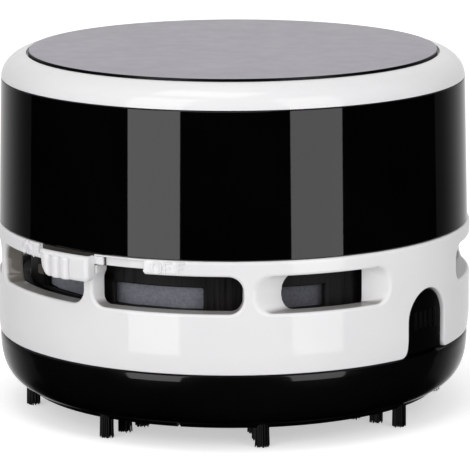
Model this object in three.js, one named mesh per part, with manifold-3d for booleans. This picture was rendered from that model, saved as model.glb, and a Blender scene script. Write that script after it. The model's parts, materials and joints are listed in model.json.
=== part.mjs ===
// Desktop mini vacuum cleaner, as an assembly of separate pieces.
// A dust cup with a brush ring stands below a vented fan body, a battery drum and a cap that turns and lifts.
// Millimetres, +Z up. The bristle tips stand on z = 0 and the front faces -Y.
// Angles are in degrees, measured from the front towards +X.
import * as THREE from "three";
import { mergeVertices } from "three/addons/utils/BufferGeometryUtils.js";
import Module from "manifold-3d";

const wasm = await Module();
wasm.setup();

// Heights of the stacked shells
const bristleLength = 3.5;
const cupHeight = 10.5;
const ventHeight = 19.9;
const drumHeight = 25.7;
const discProud = 0.45;

// How the shells step in and out from each other
const ventProud = 0.35;
const drumFootInset = 0.07;
const drumTaper = 0.63;
const bezelWidth = 4.52;
const discGap = 0.41;

// Walls of the shells
const skirtWall = 2.25;
const ventWall = 3.3;
const drumWall = 1.7;
const floorThickness = 1.6;
const deckThickness = 1.6;
const plateThickness = 1.5;
const capFloor = 1.4;
const discThickness = 1;
const retainerThickness = 1.4;

// Clearances
const fit = 0.3;
const slip = 0.4;
const seatGap = 0.2;
const cutOver = 4;

// Facets of a full turn
const shellSteps = 36;
const innerSteps = 24;
const smallSteps = 8;
const screwSteps = 8;

// Battery cells of the AA size
const cellRadius = 7.25;
const cellBody = 49.2;
const nubLength = 1.3;
const nubRadius = 2.75;

// Motor
const shaftRadius = 1;
const motorRadius = 10.3;

// The bay: a cell on each side of the motor's sleeve, with contacts at both ends
const sleeveWall = 1;
const sleeveGap = 0.45;
const sleeveRadius = motorRadius + fit + sleeveWall;
const cellPlace = sleeveRadius + sleeveGap + cellRadius;
const contactThickness = 0.4;
const contactHalfWidth = 4.8;
const springRoom = 3.9;
const bayWall = 1.5;
const bayMargin = 1.4;
const bayRoom = 1.2;
const bayHalf = contactThickness + (nubLength + cellBody + springRoom) / 2;
const bayHalfWidth = cellPlace + contactHalfWidth + bayMargin;

// Screws
const screwRadius = 0.9;
const screwHeadRadius = 1.8;
const screwHeadHeight = 1.1;

// Levels of the joints between the shells
const cupBottom = bristleLength;
const cupTop = cupBottom + cupHeight;
const ventTop = cupTop + ventHeight;
const drumTop = ventTop + drumHeight;
const retainerBottom = drumTop + fit;
const capUnderside = retainerBottom + retainerThickness + fit;
const recessFloor = capUnderside + capFloor;
const capTop = recessFloor + discThickness;
const discTop = capTop + discProud;

// Radii: the drum wraps the bay, and the other shells follow the drum
const drumBore = Math.hypot(bayHalfWidth, bayHalf + bayWall) + bayRoom;
const drumHeadRadius = drumBore + drumWall;
const drumFootRadius = drumHeadRadius + drumTaper;
const bodyRadius = drumFootRadius + drumFootInset;
const ventRadius = bodyRadius + ventProud;
const recessRadius = drumHeadRadius - bezelWidth;
const discRadius = recessRadius - discGap;
const skirtBore = ventRadius - skirtWall;
const ventBore = ventRadius - ventWall;
const screwBore = screwRadius + fit;
const shaftBore = shaftRadius + fit;

const part = new THREE.Group();

// Geometry helpers

// A closed surface as a solid, turned to face out.
function solidOf(geometry) {
  const bare = geometry.clone();
  bare.deleteAttribute("normal");
  bare.deleteAttribute("uv");
  const merged = mergeVertices(bare);
  const index = merged.index.array;
  const corners = [];
  for (let i = 0; i < index.length; i += 3) {
    const [a, b, c] = index.slice(i, i + 3);
    if (a !== b && b !== c && c !== a) corners.push(a, b, c);
  }
  const made = manifoldOf(merged.attributes.position.array, corners);
  if (made.volume() > 0) return made;
  return manifoldOf(merged.attributes.position.array, corners.reverse());
}

function manifoldOf(vertProperties, corners) {
  const triVerts = new Uint32Array(corners);
  return new wasm.Manifold(new wasm.Mesh({ numProp: 3, vertProperties, triVerts }));
}

// A solid as a geometry with flat facets.
function geometryOf(solid) {
  const { numProp, numVert, vertProperties, triVerts } = solid.getMesh();
  const positions = new Float32Array(numVert * 3);
  for (let i = 0; i < numVert; i++) {
    positions.set(vertProperties.subarray(i * numProp, i * numProp + 3), i * 3);
  }
  const geometry = new THREE.BufferGeometry();
  geometry.setAttribute("position", new THREE.BufferAttribute(positions, 3));
  geometry.setIndex(new THREE.BufferAttribute(triVerts, 1));
  geometry.computeVertexNormals();
  return geometry;
}

function joined(solids) {
  return solids.reduce((whole, solid) => whole.add(solid));
}

function cut(solid, cutters) {
  return cutters.length ? solid.subtract(joined(cutters)) : solid;
}

// A profile of [radius, height] points turned round the Z axis.
function turned(profile, steps) {
  const onAxis = profile[0][0] === 0 && profile[profile.length - 1][0] === 0;
  const loop = onAxis ? profile : [...profile, profile[0]];
  const points = loop.map(([r, z]) => new THREE.Vector2(r, z));
  return solidOf(new THREE.LatheGeometry(points, steps).rotateX(Math.PI / 2));
}

function ring(innerRadius, outerRadius, bottom, top, steps) {
  const profile = [[innerRadius, bottom], [outerRadius, bottom], [outerRadius, top], [innerRadius, top]];
  return turned(profile, steps);
}

function rod(radius, bottom, top, steps, x = 0, y = 0) {
  const geometry = new THREE.CylinderGeometry(radius, radius, top - bottom, steps);
  geometry.rotateX(Math.PI / 2).translate(x, y, (bottom + top) / 2);
  return solidOf(geometry);
}

function block(x0, x1, y0, y1, z0, z1) {
  const geometry = new THREE.BoxGeometry(x1 - x0, y1 - y0, z1 - z0);
  geometry.translate((x0 + x1) / 2, (y0 + y1) / 2, (z0 + z1) / 2);
  return solidOf(geometry);
}

// A block at the front, between two radii, turned to an angle.
function blockAt(angle, halfWidth, innerRadius, outerRadius, z0, z1) {
  const geometry = new THREE.BoxGeometry(2 * halfWidth, outerRadius - innerRadius, z1 - z0);
  geometry.translate(0, -(innerRadius + outerRadius) / 2, (z0 + z1) / 2);
  return solidOf(geometry.rotateZ(rad(angle)));
}

function rad(angle) {
  return THREE.MathUtils.degToRad(angle);
}

// The point at an angle, radius and height.
function polar(angle, radius, height) {
  return new THREE.Vector3(radius * Math.sin(rad(angle)), -radius * Math.cos(rad(angle)), height);
}

// A closed solid through sections that hold the same number of points in the same order.
function lofted(sections) {
  const count = sections[0].length;
  const positions = sections.flat().flatMap((point) => [point.x, point.y, point.z]);
  const corners = [];
  for (let i = 0; i + 1 < sections.length; i++) {
    for (let j = 0; j < count; j++) {
      const a = i * count + j;
      const b = i * count + ((j + 1) % count);
      corners.push(a, b, b + count, a, b + count, a + count);
    }
  }
  const last = (sections.length - 1) * count;
  for (let j = 1; j + 1 < count; j++) {
    corners.push(0, j + 1, j);
    corners.push(last, last + j, last + j + 1);
  }
  const geometry = new THREE.BufferGeometry();
  geometry.setAttribute("position", new THREE.Float32BufferAttribute(positions, 3));
  geometry.setIndex(corners);
  return geometry;
}

// A bar of one [radius, height] section that follows the body round from one angle to another.
function curvedBar(from, to, innerRadius, outerRadius, z0, z1, step = barStepAngle) {
  const steps = Math.max(1, Math.round((to - from) / step));
  const sections = [];
  for (let i = 0; i <= steps; i++) {
    const angle = from + ((to - from) * i) / steps;
    const outline = [[innerRadius, z0], [outerRadius, z0], [outerRadius, z1], [innerRadius, z1]];
    sections.push(outline.map(([r, z]) => polar(angle, r, z)));
  }
  return solidOf(lofted(sections));
}
const barStepAngle = 3.75;

// The slice of a turned solid between two angles less than half a turn apart.
function slice(solid, from, to, reach, bottom, top) {
  const shape = new THREE.Shape([new THREE.Vector2(), ...[from, (from + to) / 2, to].map((angle) => {
    const point = polar(angle, 2 * reach, 0);
    return new THREE.Vector2(point.x, point.y);
  })]);
  return solid.intersect(prism(shape, bottom, top));
}

function prism(shape, bottom, top, steps = smallSteps) {
  const options = { depth: top - bottom, bevelEnabled: false, curveSegments: steps };
  return solidOf(new THREE.ExtrudeGeometry(shape, options).translate(0, 0, bottom));
}

// A shape drawn upright as (sideways, height), extruded between two radii at the front.
function upright(shape, innerRadius, outerRadius, steps = smallSteps) {
  const options = { depth: outerRadius - innerRadius, bevelEnabled: false, curveSegments: steps };
  return new THREE.ExtrudeGeometry(shape, options).rotateX(Math.PI / 2).translate(0, -innerRadius, 0);
}

function add(name, solid, material, parent = part) {
  const mesh = new THREE.Mesh(geometryOf(solid), material());
  mesh.name = name;
  parent.add(mesh);
  return mesh;
}

// Materials, each a function so that every mesh has its own
function finish(color, roughness, metalness) {
  return () => new THREE.MeshStandardMaterial({ color, roughness, metalness });
}
const whitePlastic = finish(0xe9e7e8, 0.35, 0);
const glossBlack = finish(0x060607, 0.12, 0);
const satinBlack = finish(0x141415, 0.4, 0);
const greyPlastic = finish(0xa7a5ab, 0.42, 0);
const innerBlack = finish(0x0b0b0c, 0.5, 0);
const bristleBlack = finish(0x0c0b0b, 0.6, 0);
const filterCloth = finish(0x7e8496, 0.9, 0);
const steel = finish(0xb6b8bc, 0.3, 1);
const brass = finish(0xc79a4e, 0.35, 1);
const rubber = finish(0x26262a, 0.8, 0);
const magnetGrey = finish(0x3c3d40, 0.6, 0);
const copper = finish(0xb5693a, 0.35, 1);
const cellSleeve = finish(0x39424d, 0.35, 0);
const redWire = finish(0xa01c1c, 0.5, 0);
const blackWire = finish(0x101010, 0.5, 0);

// Levels inside the fan body
const spigotHeight = 6.6;
const sealHeight = 1.4;
const spigotTop = cupTop + spigotHeight;
const ledgeLevel = spigotTop + sealHeight + fit;
const plateTop = ledgeLevel + plateThickness;
const ceilingDrop = 0.9;
const ceilingBottom = ventTop - ceilingDrop;
const ceilingTop = ceilingBottom + deckThickness;
const wireRoom = 2.3;
const deckBottom = ceilingTop + wireRoom;
const deckTop = deckBottom + deckThickness;

// Radii inside the fan body
const spigotWall = 1.9;
const spigotRadius = skirtBore - fit;
const spigotBore = spigotRadius - spigotWall;
const ventSpigotRadius = drumBore - fit;
const ventSpigotWall = 1.5;
const ventSpigotBore = ventSpigotRadius - ventSpigotWall;
const stripThickness = 0.3;
const sliderThickness = 0.4;
const switchRoom = 2 * (fit + stripThickness) + fit / 2 + sliderThickness + 2 * fit;
const fanWall = 1.3;
const fanWallRadius = Math.min(ventBore - switchRoom, ventSpigotBore - 2 * fit - stripThickness);
const fanWallBore = fanWallRadius - fanWall;
const deckRadius = drumBore - slip;
const shaftHoleRadius = shaftRadius + 2 * shaftBore;

// Vent slots, as angles on the outside and on the bore; each also stands half a turn away
const slotTurnAngles = [0, 180];
const ventSlots = [
  { outerAngles: [-112.2, -76.4], innerAngles: [-110.8, -77.8] },
  { outerAngles: [-73.8, -37.6], innerAngles: [-72.6, -38.4] },
  { outerAngles: [-34.9, 2.3], innerAngles: [-34.2, 1.2] },
  { outerAngles: [4.8, 39.7], innerAngles: [12.5, 33.6] },
];
const slotTopDrop = 2.65;
const slotHeight = 6.55;
const slotCornerRadius = 2.6;
const slotTop = ventTop - slotTopDrop;
const slotBottom = slotTop - slotHeight;
const cornerPoints = 3;

// Latch arches in the skirt and their tabs
const latchAngles = [53.5, 233.5];
const latchSides = ["right", "left"];
const archHalfWidth = 5.15;
const archHeight = 11.66;
const archFootFlare = 1.1;
const tabGap = 0.35;
const tabThickness = 1.3;
const tabRecess = 0.65;

// Switch track, as angles
const trackFromAngle = -53;
const trackToAngle = -21.2;
const trackDepth = 0.75;
const trackHeight = 1.8;
const notchFromAngle = -31;
const notchOver = 1;
const trackBottom = ventTop - trackHeight;

// The arch outline as (sideways, height) from a foot level.
function archShape(halfWidth, foot, crown, flare) {
  const shape = new THREE.Shape();
  const spring = crown - halfWidth;
  shape.moveTo(-halfWidth - flare, foot);
  shape.lineTo(halfWidth + flare, foot);
  if (flare > 0) shape.quadraticCurveTo(halfWidth, foot, halfWidth, foot + flare);
  shape.lineTo(halfWidth, spring);
  shape.absarc(0, spring, halfWidth, 0, Math.PI, false);
  if (flare > 0) {
    shape.lineTo(-halfWidth, foot + flare);
    shape.quadraticCurveTo(-halfWidth, foot, -halfWidth - flare, foot);
  } else {
    shape.lineTo(-halfWidth, foot);
  }
  return shape;
}

// Half the height of a rounded slot at a share of its length from 0 to 1.
function slotHalfHeight(share, length, height, corner) {
  const reach = Math.min(share, 1 - share) * length;
  if (reach >= corner) return height / 2;
  const drop = corner - Math.sqrt(corner ** 2 - (corner - reach) ** 2);
  return height / 2 - drop * slotEndShare;
}
const slotEndShare = 0.98;

// A cutter through the vent wall whose outline runs from an outer span to an inner span.
function slotCutter(outer, inner) {
  const length = rad(outer[1] - outer[0]) * ventRadius;
  const corner = Math.min(slotCornerRadius, slotHeight / 2);
  const shares = [];
  for (let i = 0; i < cornerPoints; i++) {
    shares.push((corner / length) * (1 - Math.cos((i * Math.PI) / 2 / cornerPoints)));
  }
  const middle = Math.max(2, Math.round((outer[1] - outer[0]) / barStepAngle / 2));
  for (let i = 0; i <= middle; i++) {
    shares.push(corner / length + ((1 - (2 * corner) / length) * i) / middle);
  }
  const all = [...shares, ...shares.slice(0, cornerPoints).reverse().map((share) => 1 - share)];
  const middleHeight = (slotTop + slotBottom) / 2;
  const innerRadius = ventBore - cutOver / 2;
  const outerRadius = ventRadius + cutOver;
  const sections = all.map((share) => {
    const half = slotHalfHeight(share, length, slotHeight, corner);
    const corners = [[innerRadius, -half], [outerRadius, -half], [outerRadius, half], [innerRadius, half]];
    return corners.map(([radius, side]) => {
      const depth = (ventRadius - radius) / ventWall;
      const from = outer[0] + (inner[0] - outer[0]) * depth;
      const to = outer[1] + (inner[1] - outer[1]) * depth;
      return polar(from + (to - from) * share, radius, middleHeight + side);
    });
  });
  return solidOf(lofted(sections));
}

// The white fan body: vents all round, a skirt over the cup, a spigot into the drum.
const ventFootInset = 0.3;
const ventFootRise = 3.7;
const ventShoulderInset = 0.15;
const ventShoulderDrop = 0.7;
const flangeThickness = 1.2;

function ventShell() {
  const shell = turned([
    [skirtBore, cupTop],
    [ventRadius - ventFootInset, cupTop],
    [ventRadius, cupTop + ventFootRise],
    [ventRadius, ventTop - ventShoulderDrop],
    [ventRadius - ventShoulderInset, ventTop],
    [ventSpigotRadius, ventTop],
    [ventSpigotRadius, deckBottom],
    [ventSpigotBore, deckBottom],
    [ventSpigotBore, ventTop - flangeThickness],
    [ventBore, ventTop - flangeThickness],
    [ventBore, ledgeLevel],
    [skirtBore, ledgeLevel],
  ], shellSteps);
  const cutters = [];
  for (const slot of ventSlots) {
    for (const half of slotTurnAngles) {
      const outer = slot.outerAngles.map((angle) => angle + half);
      const inner = slot.innerAngles.map((angle) => angle + half);
      cutters.push(slotCutter(outer, inner));
    }
  }
  const arch = archShape(archHalfWidth, cupTop, cupTop + archHeight, archFootFlare);
  const below = block(
    -archHalfWidth - archFootFlare, archHalfWidth + archFootFlare,
    -ventRadius - cutOver, -fanWallRadius, cupTop - cutOver, cupTop,
  );
  for (const angle of latchAngles) {
    const opening = solidOf(upright(arch, fanWallRadius, ventRadius + cutOver)).add(below);
    cutters.push(solidOf(geometryOf(opening).rotateZ(rad(angle))));
  }
  const trackFloor = ventRadius - trackDepth;
  const outside = ventRadius + cutOver;
  cutters.push(curvedBar(trackFromAngle, trackToAngle, trackFloor, outside, trackBottom, ventTop + cutOver));
  const notch = [ventBore - notchOver, outside, slotTop - seatGap, trackBottom];
  cutters.push(curvedBar(notchFromAngle, trackToAngle, ...notch));
  return cut(shell, cutters);
}

// The gloss black drum round the cells.
function drumShell() {
  const outside = [[drumFootRadius, ventTop], [drumHeadRadius, drumTop]];
  return turned([[drumBore, ventTop], ...outside, [drumBore, drumTop]], shellSteps);
}

// The fan housing: a windowed wall under a ceiling, posts for the plate and bosses for the deck.
const windowEndAngles = [[-66.4, -44], [-34.2, -8.2], [3, 25], [40, 62], [76, 100]];
const windowHeight = 3.8;
const windowLift = 0.5;
const feltThickness = 1.2;
const feltRoom = 0.5;
const postRadius = 2.2;
const postRoom = 1.3;
const postCircle = fanWallBore - fit - feltThickness - feltRoom - postRadius;
const impellerRadius = postCircle - postRadius - postRoom;
const postAngles = [45, 165, 285];
const bossRadius = 2.6;
const bossRoom = 0.6;
const bossCircle = bayHalf + bayWall + bossRoom + screwHeadRadius;
const bossAngles = [0, 90, 180, 270];
const boreMargin = 2;

function fanHousing() {
  const shell = turned([
    [shaftHoleRadius, ceilingBottom],
    [fanWallBore, ceilingBottom],
    [fanWallBore, plateTop],
    [fanWallRadius, plateTop],
    [fanWallRadius, ceilingTop],
    [shaftHoleRadius, ceilingTop],
  ], innerSteps);
  const posts = postAngles.map((angle) => postAt(angle, postCircle, postRadius, plateTop, ceilingTop));
  const bosses = bossAngles.map((angle) => postAt(angle, bossCircle, bossRadius, ceilingBottom, deckBottom));
  const cutters = [];
  const [behindPosts, outside] = [postCircle + postRadius + fit, fanWallRadius + cutOver];
  const sill = plateTop + windowLift;
  for (const [start, end] of windowEndAngles) {
    const halfWidth = fanWallRadius * Math.sin(rad((end - start) / 2));
    const middle = (start + end) / 2;
    for (const angle of [middle, middle + 180]) {
      cutters.push(blockAt(angle, halfWidth, behindPosts, outside, sill, sill + windowHeight));
    }
  }
  for (const angle of postAngles) {
    cutters.push(postAt(angle, postCircle, screwBore, plateTop - cutOver, ceilingBottom - boreMargin));
  }
  for (const angle of bossAngles) {
    cutters.push(postAt(angle, bossCircle, screwBore, ceilingBottom - cutOver, deckBottom + cutOver));
  }
  return cut(joined([shell, ...posts, ...bosses]), cutters);
}

// An upright post at an angle and a distance from the axis.
function postAt(angle, distance, radius, bottom, top) {
  const place = polar(angle, distance, 0);
  return rod(radius, bottom, top, smallSteps, place.x, place.y);
}

// The band of filter felt behind the windows.
function exhaustFilter() {
  const outer = fanWallBore - fit;
  return ring(outer - feltThickness, outer, plateTop + fit, ceilingBottom - fit, innerSteps);
}

// The plate under the impeller, with its guarded eye.
const eyeRadius = 9.5;
const guardRadius = 3.4;
const guardWidth = 1.2;
const countersinkDepth = 1;

function intakePlate() {
  const plate = ring(eyeRadius, ventBore - fit, ledgeLevel, plateTop, innerSteps);
  const guardTop = ledgeLevel + guardWidth;
  const reach = eyeRadius + guardWidth;
  const bars = [
    block(-reach, reach, -guardWidth / 2, guardWidth / 2, ledgeLevel, guardTop),
    block(-guardWidth / 2, guardWidth / 2, -reach, reach, ledgeLevel, guardTop),
    ring(guardRadius - guardWidth, guardRadius, ledgeLevel, guardTop, smallSteps),
  ];
  const below = ledgeLevel - cutOver;
  const holes = postAngles.map((angle) => postAt(angle, postCircle, screwBore, below, plateTop + cutOver));
  const sinks = postAngles.map((angle) => (
    postAt(angle, postCircle, screwHeadRadius + fit, below, ledgeLevel + countersinkDepth)
  ));
  return cut(joined([plate, ...bars]), [...holes, ...sinks]);
}

// The removable filter: a frame with spokes, and its fine screen.
const filterHeight = 3.7;
const filterRimWall = 1.4;
const filterLedge = 3.4;
const filterLedgeHeight = 1.2;
const screenThickness = 0.6;
const spokeWidth = 1.4;
const spokeCount = 3;
const filterTop = ledgeLevel - fit;
const filterBottom = filterTop - filterHeight;
const filterRadius = spigotBore - slip;

function filterFrame() {
  const rim = filterRadius - filterRimWall;
  const frame = turned([
    [filterRadius - filterLedge, filterBottom],
    [filterRadius, filterBottom],
    [filterRadius, filterTop],
    [rim, filterTop],
    [rim, filterBottom + filterLedgeHeight],
    [filterRadius - filterLedge, filterBottom + filterLedgeHeight],
  ], innerSteps);
  const spokes = [];
  const reach = filterRadius - filterRimWall;
  for (let i = 0; i < spokeCount; i++) {
    const bar = new THREE.BoxGeometry(2 * reach, spokeWidth, filterLedgeHeight);
    bar.translate(0, 0, filterBottom + filterLedgeHeight / 2).rotateZ((i * Math.PI) / spokeCount);
    spokes.push(solidOf(bar));
  }
  return joined([frame, ...spokes]);
}

function filterScreen() {
  const bottom = filterBottom + filterLedgeHeight + fit;
  return rod(filterRadius - filterRimWall - fit, bottom, bottom + screenThickness, innerSteps);
}

// The deck that carries the motor and the cells.
const sleeveHeight = 7.5;
const cellLift = 1.1;
const cellCentre = deckTop + cellLift + cellRadius;
const cellTop = cellCentre + cellRadius;
const saddleSpread = 14;
const saddleThickness = 2;
const saddleHeight = 5;
const saddleMargin = 0.6;
const keyHalfWidth = 3.5;
const keyDepth = 2;
const wireHoleRadius = 4.1;
const wireHoleSetback = 4.8;
const wireHoleY = -(sleeveRadius + wireHoleSetback + wireHoleRadius);

function chassis() {
  const deck = ring(shaftHoleRadius, deckRadius, deckBottom, deckTop, innerSteps);
  const sleeve = ring(motorRadius + fit, sleeveRadius, deckTop - seatGap, deckTop + sleeveHeight, innerSteps);
  const pieces = [deck, sleeve];
  const seat = deckTop - seatGap;
  for (const side of [-1, 1]) {
    const x = side * cellPlace;
    const halfSaddle = cellRadius - saddleMargin;
    for (const along of [-saddleSpread, saddleSpread]) {
      const [front, back] = [along - saddleThickness / 2, along + saddleThickness / 2];
      pieces.push(block(x - halfSaddle, x + halfSaddle, front, back, seat, deckTop + saddleHeight));
    }
    const [front, back] = side < 0 ? [-bayHalf - bayWall, -bayHalf] : [bayHalf, bayHalf + bayWall];
    pieces.push(block(-bayHalfWidth, bayHalfWidth, front, back, seat, bayTop));
  }
  const cutters = [];
  const bedRadius = cellRadius + fit;
  const keyway = keyHalfWidth + slip;
  for (const side of [-1, 1]) {
    const bed = new THREE.CylinderGeometry(bedRadius, bedRadius, 2 * (bayHalf - fit), innerSteps);
    cutters.push(solidOf(bed.translate(side * cellPlace, 0, cellCentre)));
    const middle = side * (bayHalf + bayWall / 2);
    const [front, back] = [middle - bayWall, middle + bayWall];
    cutters.push(block(-keyway, keyway, front, back, bayTop - keyDepth, bayTop + cutOver));
  }
  for (const angle of bossAngles) {
    cutters.push(postAt(angle, bossCircle, screwBore, deckBottom - cutOver, deckTop + cutOver));
  }
  cutters.push(rod(wireHoleRadius, deckBottom - cutOver, deckTop + cutOver, smallSteps, 0, wireHoleY));
  const skirtBottom = drumTop - capSkirtDepth - slip;
  cutters.push(ring(capSkirtBore - slip, deckRadius + cutOver, skirtBottom, drumTop + cutOver, innerSteps));
  const inside = rod(deckRadius, deckBottom, drumTop, innerSteps);
  return cut(joined(pieces), cutters).intersect(inside);
}
const bayTop = cellTop + saddleMargin;

// A battery cell that lies along Y, its nub towards +Y.
function cell() {
  const half = (cellBody + nubLength) / 2;
  const shoulder = half - nubLength;
  const profile = [
    [0, -half],
    [cellRadius - cellEdge, -half],
    [cellRadius, -half + cellEdge],
    [cellRadius, shoulder - cellEdge],
    [cellRadius - cellEdge, shoulder],
    [nubRadius, shoulder],
    [nubRadius, half],
    [0, half],
  ];
  const points = profile.map(([r, y]) => new THREE.Vector2(r, y));
  return solidOf(new THREE.LatheGeometry(points, cellSteps));
}
const cellEdge = 0.5;
const cellSteps = 18;

// A conical contact spring: one tube along a widening helix, drawn along Y from 0.
const springWire = 0.3;
const springTurns = 3;
const springNarrow = 2;
const springWide = 4.2;
const curlSteps = 8;
const wireSides = 5;

function cellSpring() {
  const length = springRoom - 2 * springWire - 2 * seatGap;
  const centre = (turn) => {
    const radius = springNarrow + ((springWide - springNarrow) * turn) / springTurns;
    const angle = 2 * Math.PI * turn;
    const along = (length * turn) / springTurns;
    return new THREE.Vector3(radius * Math.cos(angle), along, radius * Math.sin(angle));
  };
  const sections = [];
  for (let i = 0; i <= springTurns * curlSteps; i++) {
    const turn = i / curlSteps;
    const here = centre(turn);
    const outward = new THREE.Vector3(here.x, 0, here.z).normalize();
    const along = new THREE.Vector3(0, 1, 0);
    const section = [];
    for (let j = 0; j < wireSides; j++) {
      const swing = (2 * Math.PI * j) / wireSides;
      section.push(here.clone()
        .addScaledVector(outward, springWire * Math.cos(swing))
        .addScaledVector(along, springWire * Math.sin(swing)));
    }
    sections.push(section);
  }
  return solidOf(lofted(sections));
}

// Contact plates on the end walls of the bay.
const contactHeight = 10;

function contactPlate(x0, x1) {
  const bottom = cellCentre - contactHeight / 2;
  return block(x0, x1, -contactThickness, 0, bottom, bottom + contactHeight);
}

// The motor: can, end cap, magnets, terminals.
const canWall = 0.7;
const canBossRadius = 3;
const endCapHeight = 1.8;
const endCollarHeight = 1.2;
const terminalHeight = 1.7;
const terminalPlace = 6.9;
const terminalHalfWidth = 1.1;
const terminalThickness = 0.5;
const terminalRoom = 0.9;
const canBossHeight = deckTop - deckBottom - fit / 2;
const canTop = retainerBottom - terminalRoom - terminalHeight - endCapHeight;
const motorTop = canTop + endCapHeight;

function motorCan() {
  return turned([
    [shaftBore, deckTop - canBossHeight],
    [canBossRadius, deckTop - canBossHeight],
    [canBossRadius, deckTop],
    [motorRadius, deckTop],
    [motorRadius, canTop],
    [motorRadius - canWall, canTop],
    [motorRadius - canWall, deckTop + canWall],
    [shaftBore, deckTop + canWall],
  ], innerSteps);
}

function motorEndCap() {
  const collar = motorRadius - canWall - fit;
  return turned([
    [shaftBore, canTop - endCollarHeight],
    [collar, canTop - endCollarHeight],
    [collar, canTop],
    [motorRadius, canTop],
    [motorRadius, motorTop],
    [shaftBore, motorTop],
  ], innerSteps);
}

const magnetThickness = 1.5;
const magnetSpanAngle = 130;
const magnetMargin = 1.5;

function magnet() {
  const outer = motorRadius - canWall - fit;
  const bottom = deckTop + canWall + magnetMargin;
  const top = canTop - endCollarHeight - fit;
  const whole = ring(outer - magnetThickness, outer, bottom, top, innerSteps);
  return slice(whole, -magnetSpanAngle / 2, magnetSpanAngle / 2, motorRadius, bottom, top);
}

// The armature: a three-pole core with its commutator.
const poleCount = 3;
const poleNeck = 1.4;
const poleTip = 1.4;
const commutatorRadius = 2.6;
const commutatorHeight = 2.4;
const airGap = 0.5;

function armature() {
  const reach = motorRadius - canWall - fit - magnetThickness - airGap;
  const bottom = deckTop + canWall + magnetMargin;
  const top = canTop - endCollarHeight - fit - commutatorHeight;
  const pieces = [rod(commutatorRadius + poleNeck, bottom, top, smallSteps)];
  for (let i = 0; i < poleCount; i++) {
    const angle = (i * 360) / poleCount;
    pieces.push(blockAt(angle, poleNeck, 0, reach - poleTip / 2, bottom, top));
    const [from, to] = [angle - poleSpanAngle / 2, angle + poleSpanAngle / 2];
    pieces.push(curvedBar(from, to, reach - poleTip, reach, bottom, top, poleStepAngle));
  }
  const end = top + commutatorHeight;
  pieces.push(rod(commutatorRadius, top - seatGap, end, smallSteps));
  return cut(joined(pieces), [rod(shaftBore, bottom - cutOver, end + cutOver, smallSteps)]);
}
const poleSpanAngle = 90;
const poleStepAngle = 18;

const impellerDrop = 1;
const impellerLift = 1.8;
const impellerDisc = 1.2;
const hubRadius = 3.4;
const bladeCount = 7;
const bladeRoot = 7;
const bladeThickness = 1.2;
const bladeSweepAngle = 38;
const bladeSteps = 4;
const shaftTail = 0.4;
const impellerBottom = plateTop + impellerLift;
const impellerTop = ceilingBottom - impellerDrop;

function motorShaft() {
  return rod(shaftRadius, impellerBottom - shaftTail, motorTop - fit, smallSteps);
}

// The impeller: swept blades under a disc.
function impeller() {
  const disc = rod(impellerRadius, impellerTop - impellerDisc, impellerTop, innerSteps);
  const hub = rod(hubRadius, impellerBottom, impellerTop, smallSteps);
  const pieces = [disc, hub];
  for (let i = 0; i < bladeCount; i++) {
    const sections = [];
    for (let j = 0; j <= bladeSteps; j++) {
      const share = j / bladeSteps;
      const radius = bladeRoot + (impellerRadius - bladeThickness - bladeRoot) * share;
      const angle = (i * 360) / bladeCount - bladeSweepAngle * share;
      const halfTurn = THREE.MathUtils.radToDeg(bladeThickness / 2 / radius);
      const top = impellerTop - impellerDisc / 2;
      sections.push([
        polar(angle - halfTurn, radius, impellerBottom),
        polar(angle + halfTurn, radius, impellerBottom),
        polar(angle + halfTurn, radius, top),
        polar(angle - halfTurn, radius, top),
      ]);
    }
    pieces.push(solidOf(lofted(sections)));
  }
  return cut(joined(pieces), [rod(shaftBore, impellerBottom - cutOver, impellerTop + cutOver, smallSteps)]);
}

// A screw that points down from z = 0, its head above.
function screw(length) {
  return turned([
    [0, -length],
    [screwRadius, -length],
    [screwRadius, 0],
    [screwHeadRadius, 0],
    [screwHeadRadius, screwHeadHeight],
    [0, screwHeadHeight],
  ], screwSteps);
}

// The cap: bezel, recess for the disc, skirt into the drum and a pivot boss.
const capSkirtDepth = 3.6;
const capSkirtWall = 1.4;
const bezelPoints = 5;
const bezelRoundness = 1.85;
const pivotRadius = 2.6;
const capBottom = drumTop + seatGap;
const pivotBoreTop = recessFloor - seatGap;
const capSkirtRadius = drumBore - slip;
const capSkirtBore = capSkirtRadius - capSkirtWall;

function topCap() {
  const bezel = [];
  for (let i = 0; i <= bezelPoints; i++) {
    const swing = (i / bezelPoints) * (Math.PI / 2);
    const across = Math.max(0, Math.cos(swing)) ** (2 / bezelRoundness);
    const up = Math.sin(swing) ** (2 / bezelRoundness);
    bezel.push([recessRadius + bezelWidth * across, capBottom + (capTop - capBottom) * up]);
  }
  return turned([
    [0, pivotBoreTop],
    [screwBore, pivotBoreTop],
    [screwBore, capBottom],
    [pivotRadius, capBottom],
    [pivotRadius, capUnderside],
    [capSkirtBore, capUnderside],
    [capSkirtBore, drumTop - capSkirtDepth],
    [capSkirtRadius, drumTop - capSkirtDepth],
    [capSkirtRadius, capBottom],
    ...bezel,
    [recessRadius, recessFloor],
    [0, recessFloor],
  ], shellSteps);
}

const discEdge = 0.2;

function topDisc() {
  return turned([
    [0, recessFloor],
    [discRadius, recessFloor],
    [discRadius, discTop - discEdge],
    [discRadius - discEdge, discTop],
    [0, discTop],
  ], shellSteps);
}

// The cell retainer under the cap, keyed in the end walls of the bay.
const retainerRibSpread = 10;
const retainerRibThickness = 2;
const retainerRibHalf = 3;

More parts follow.
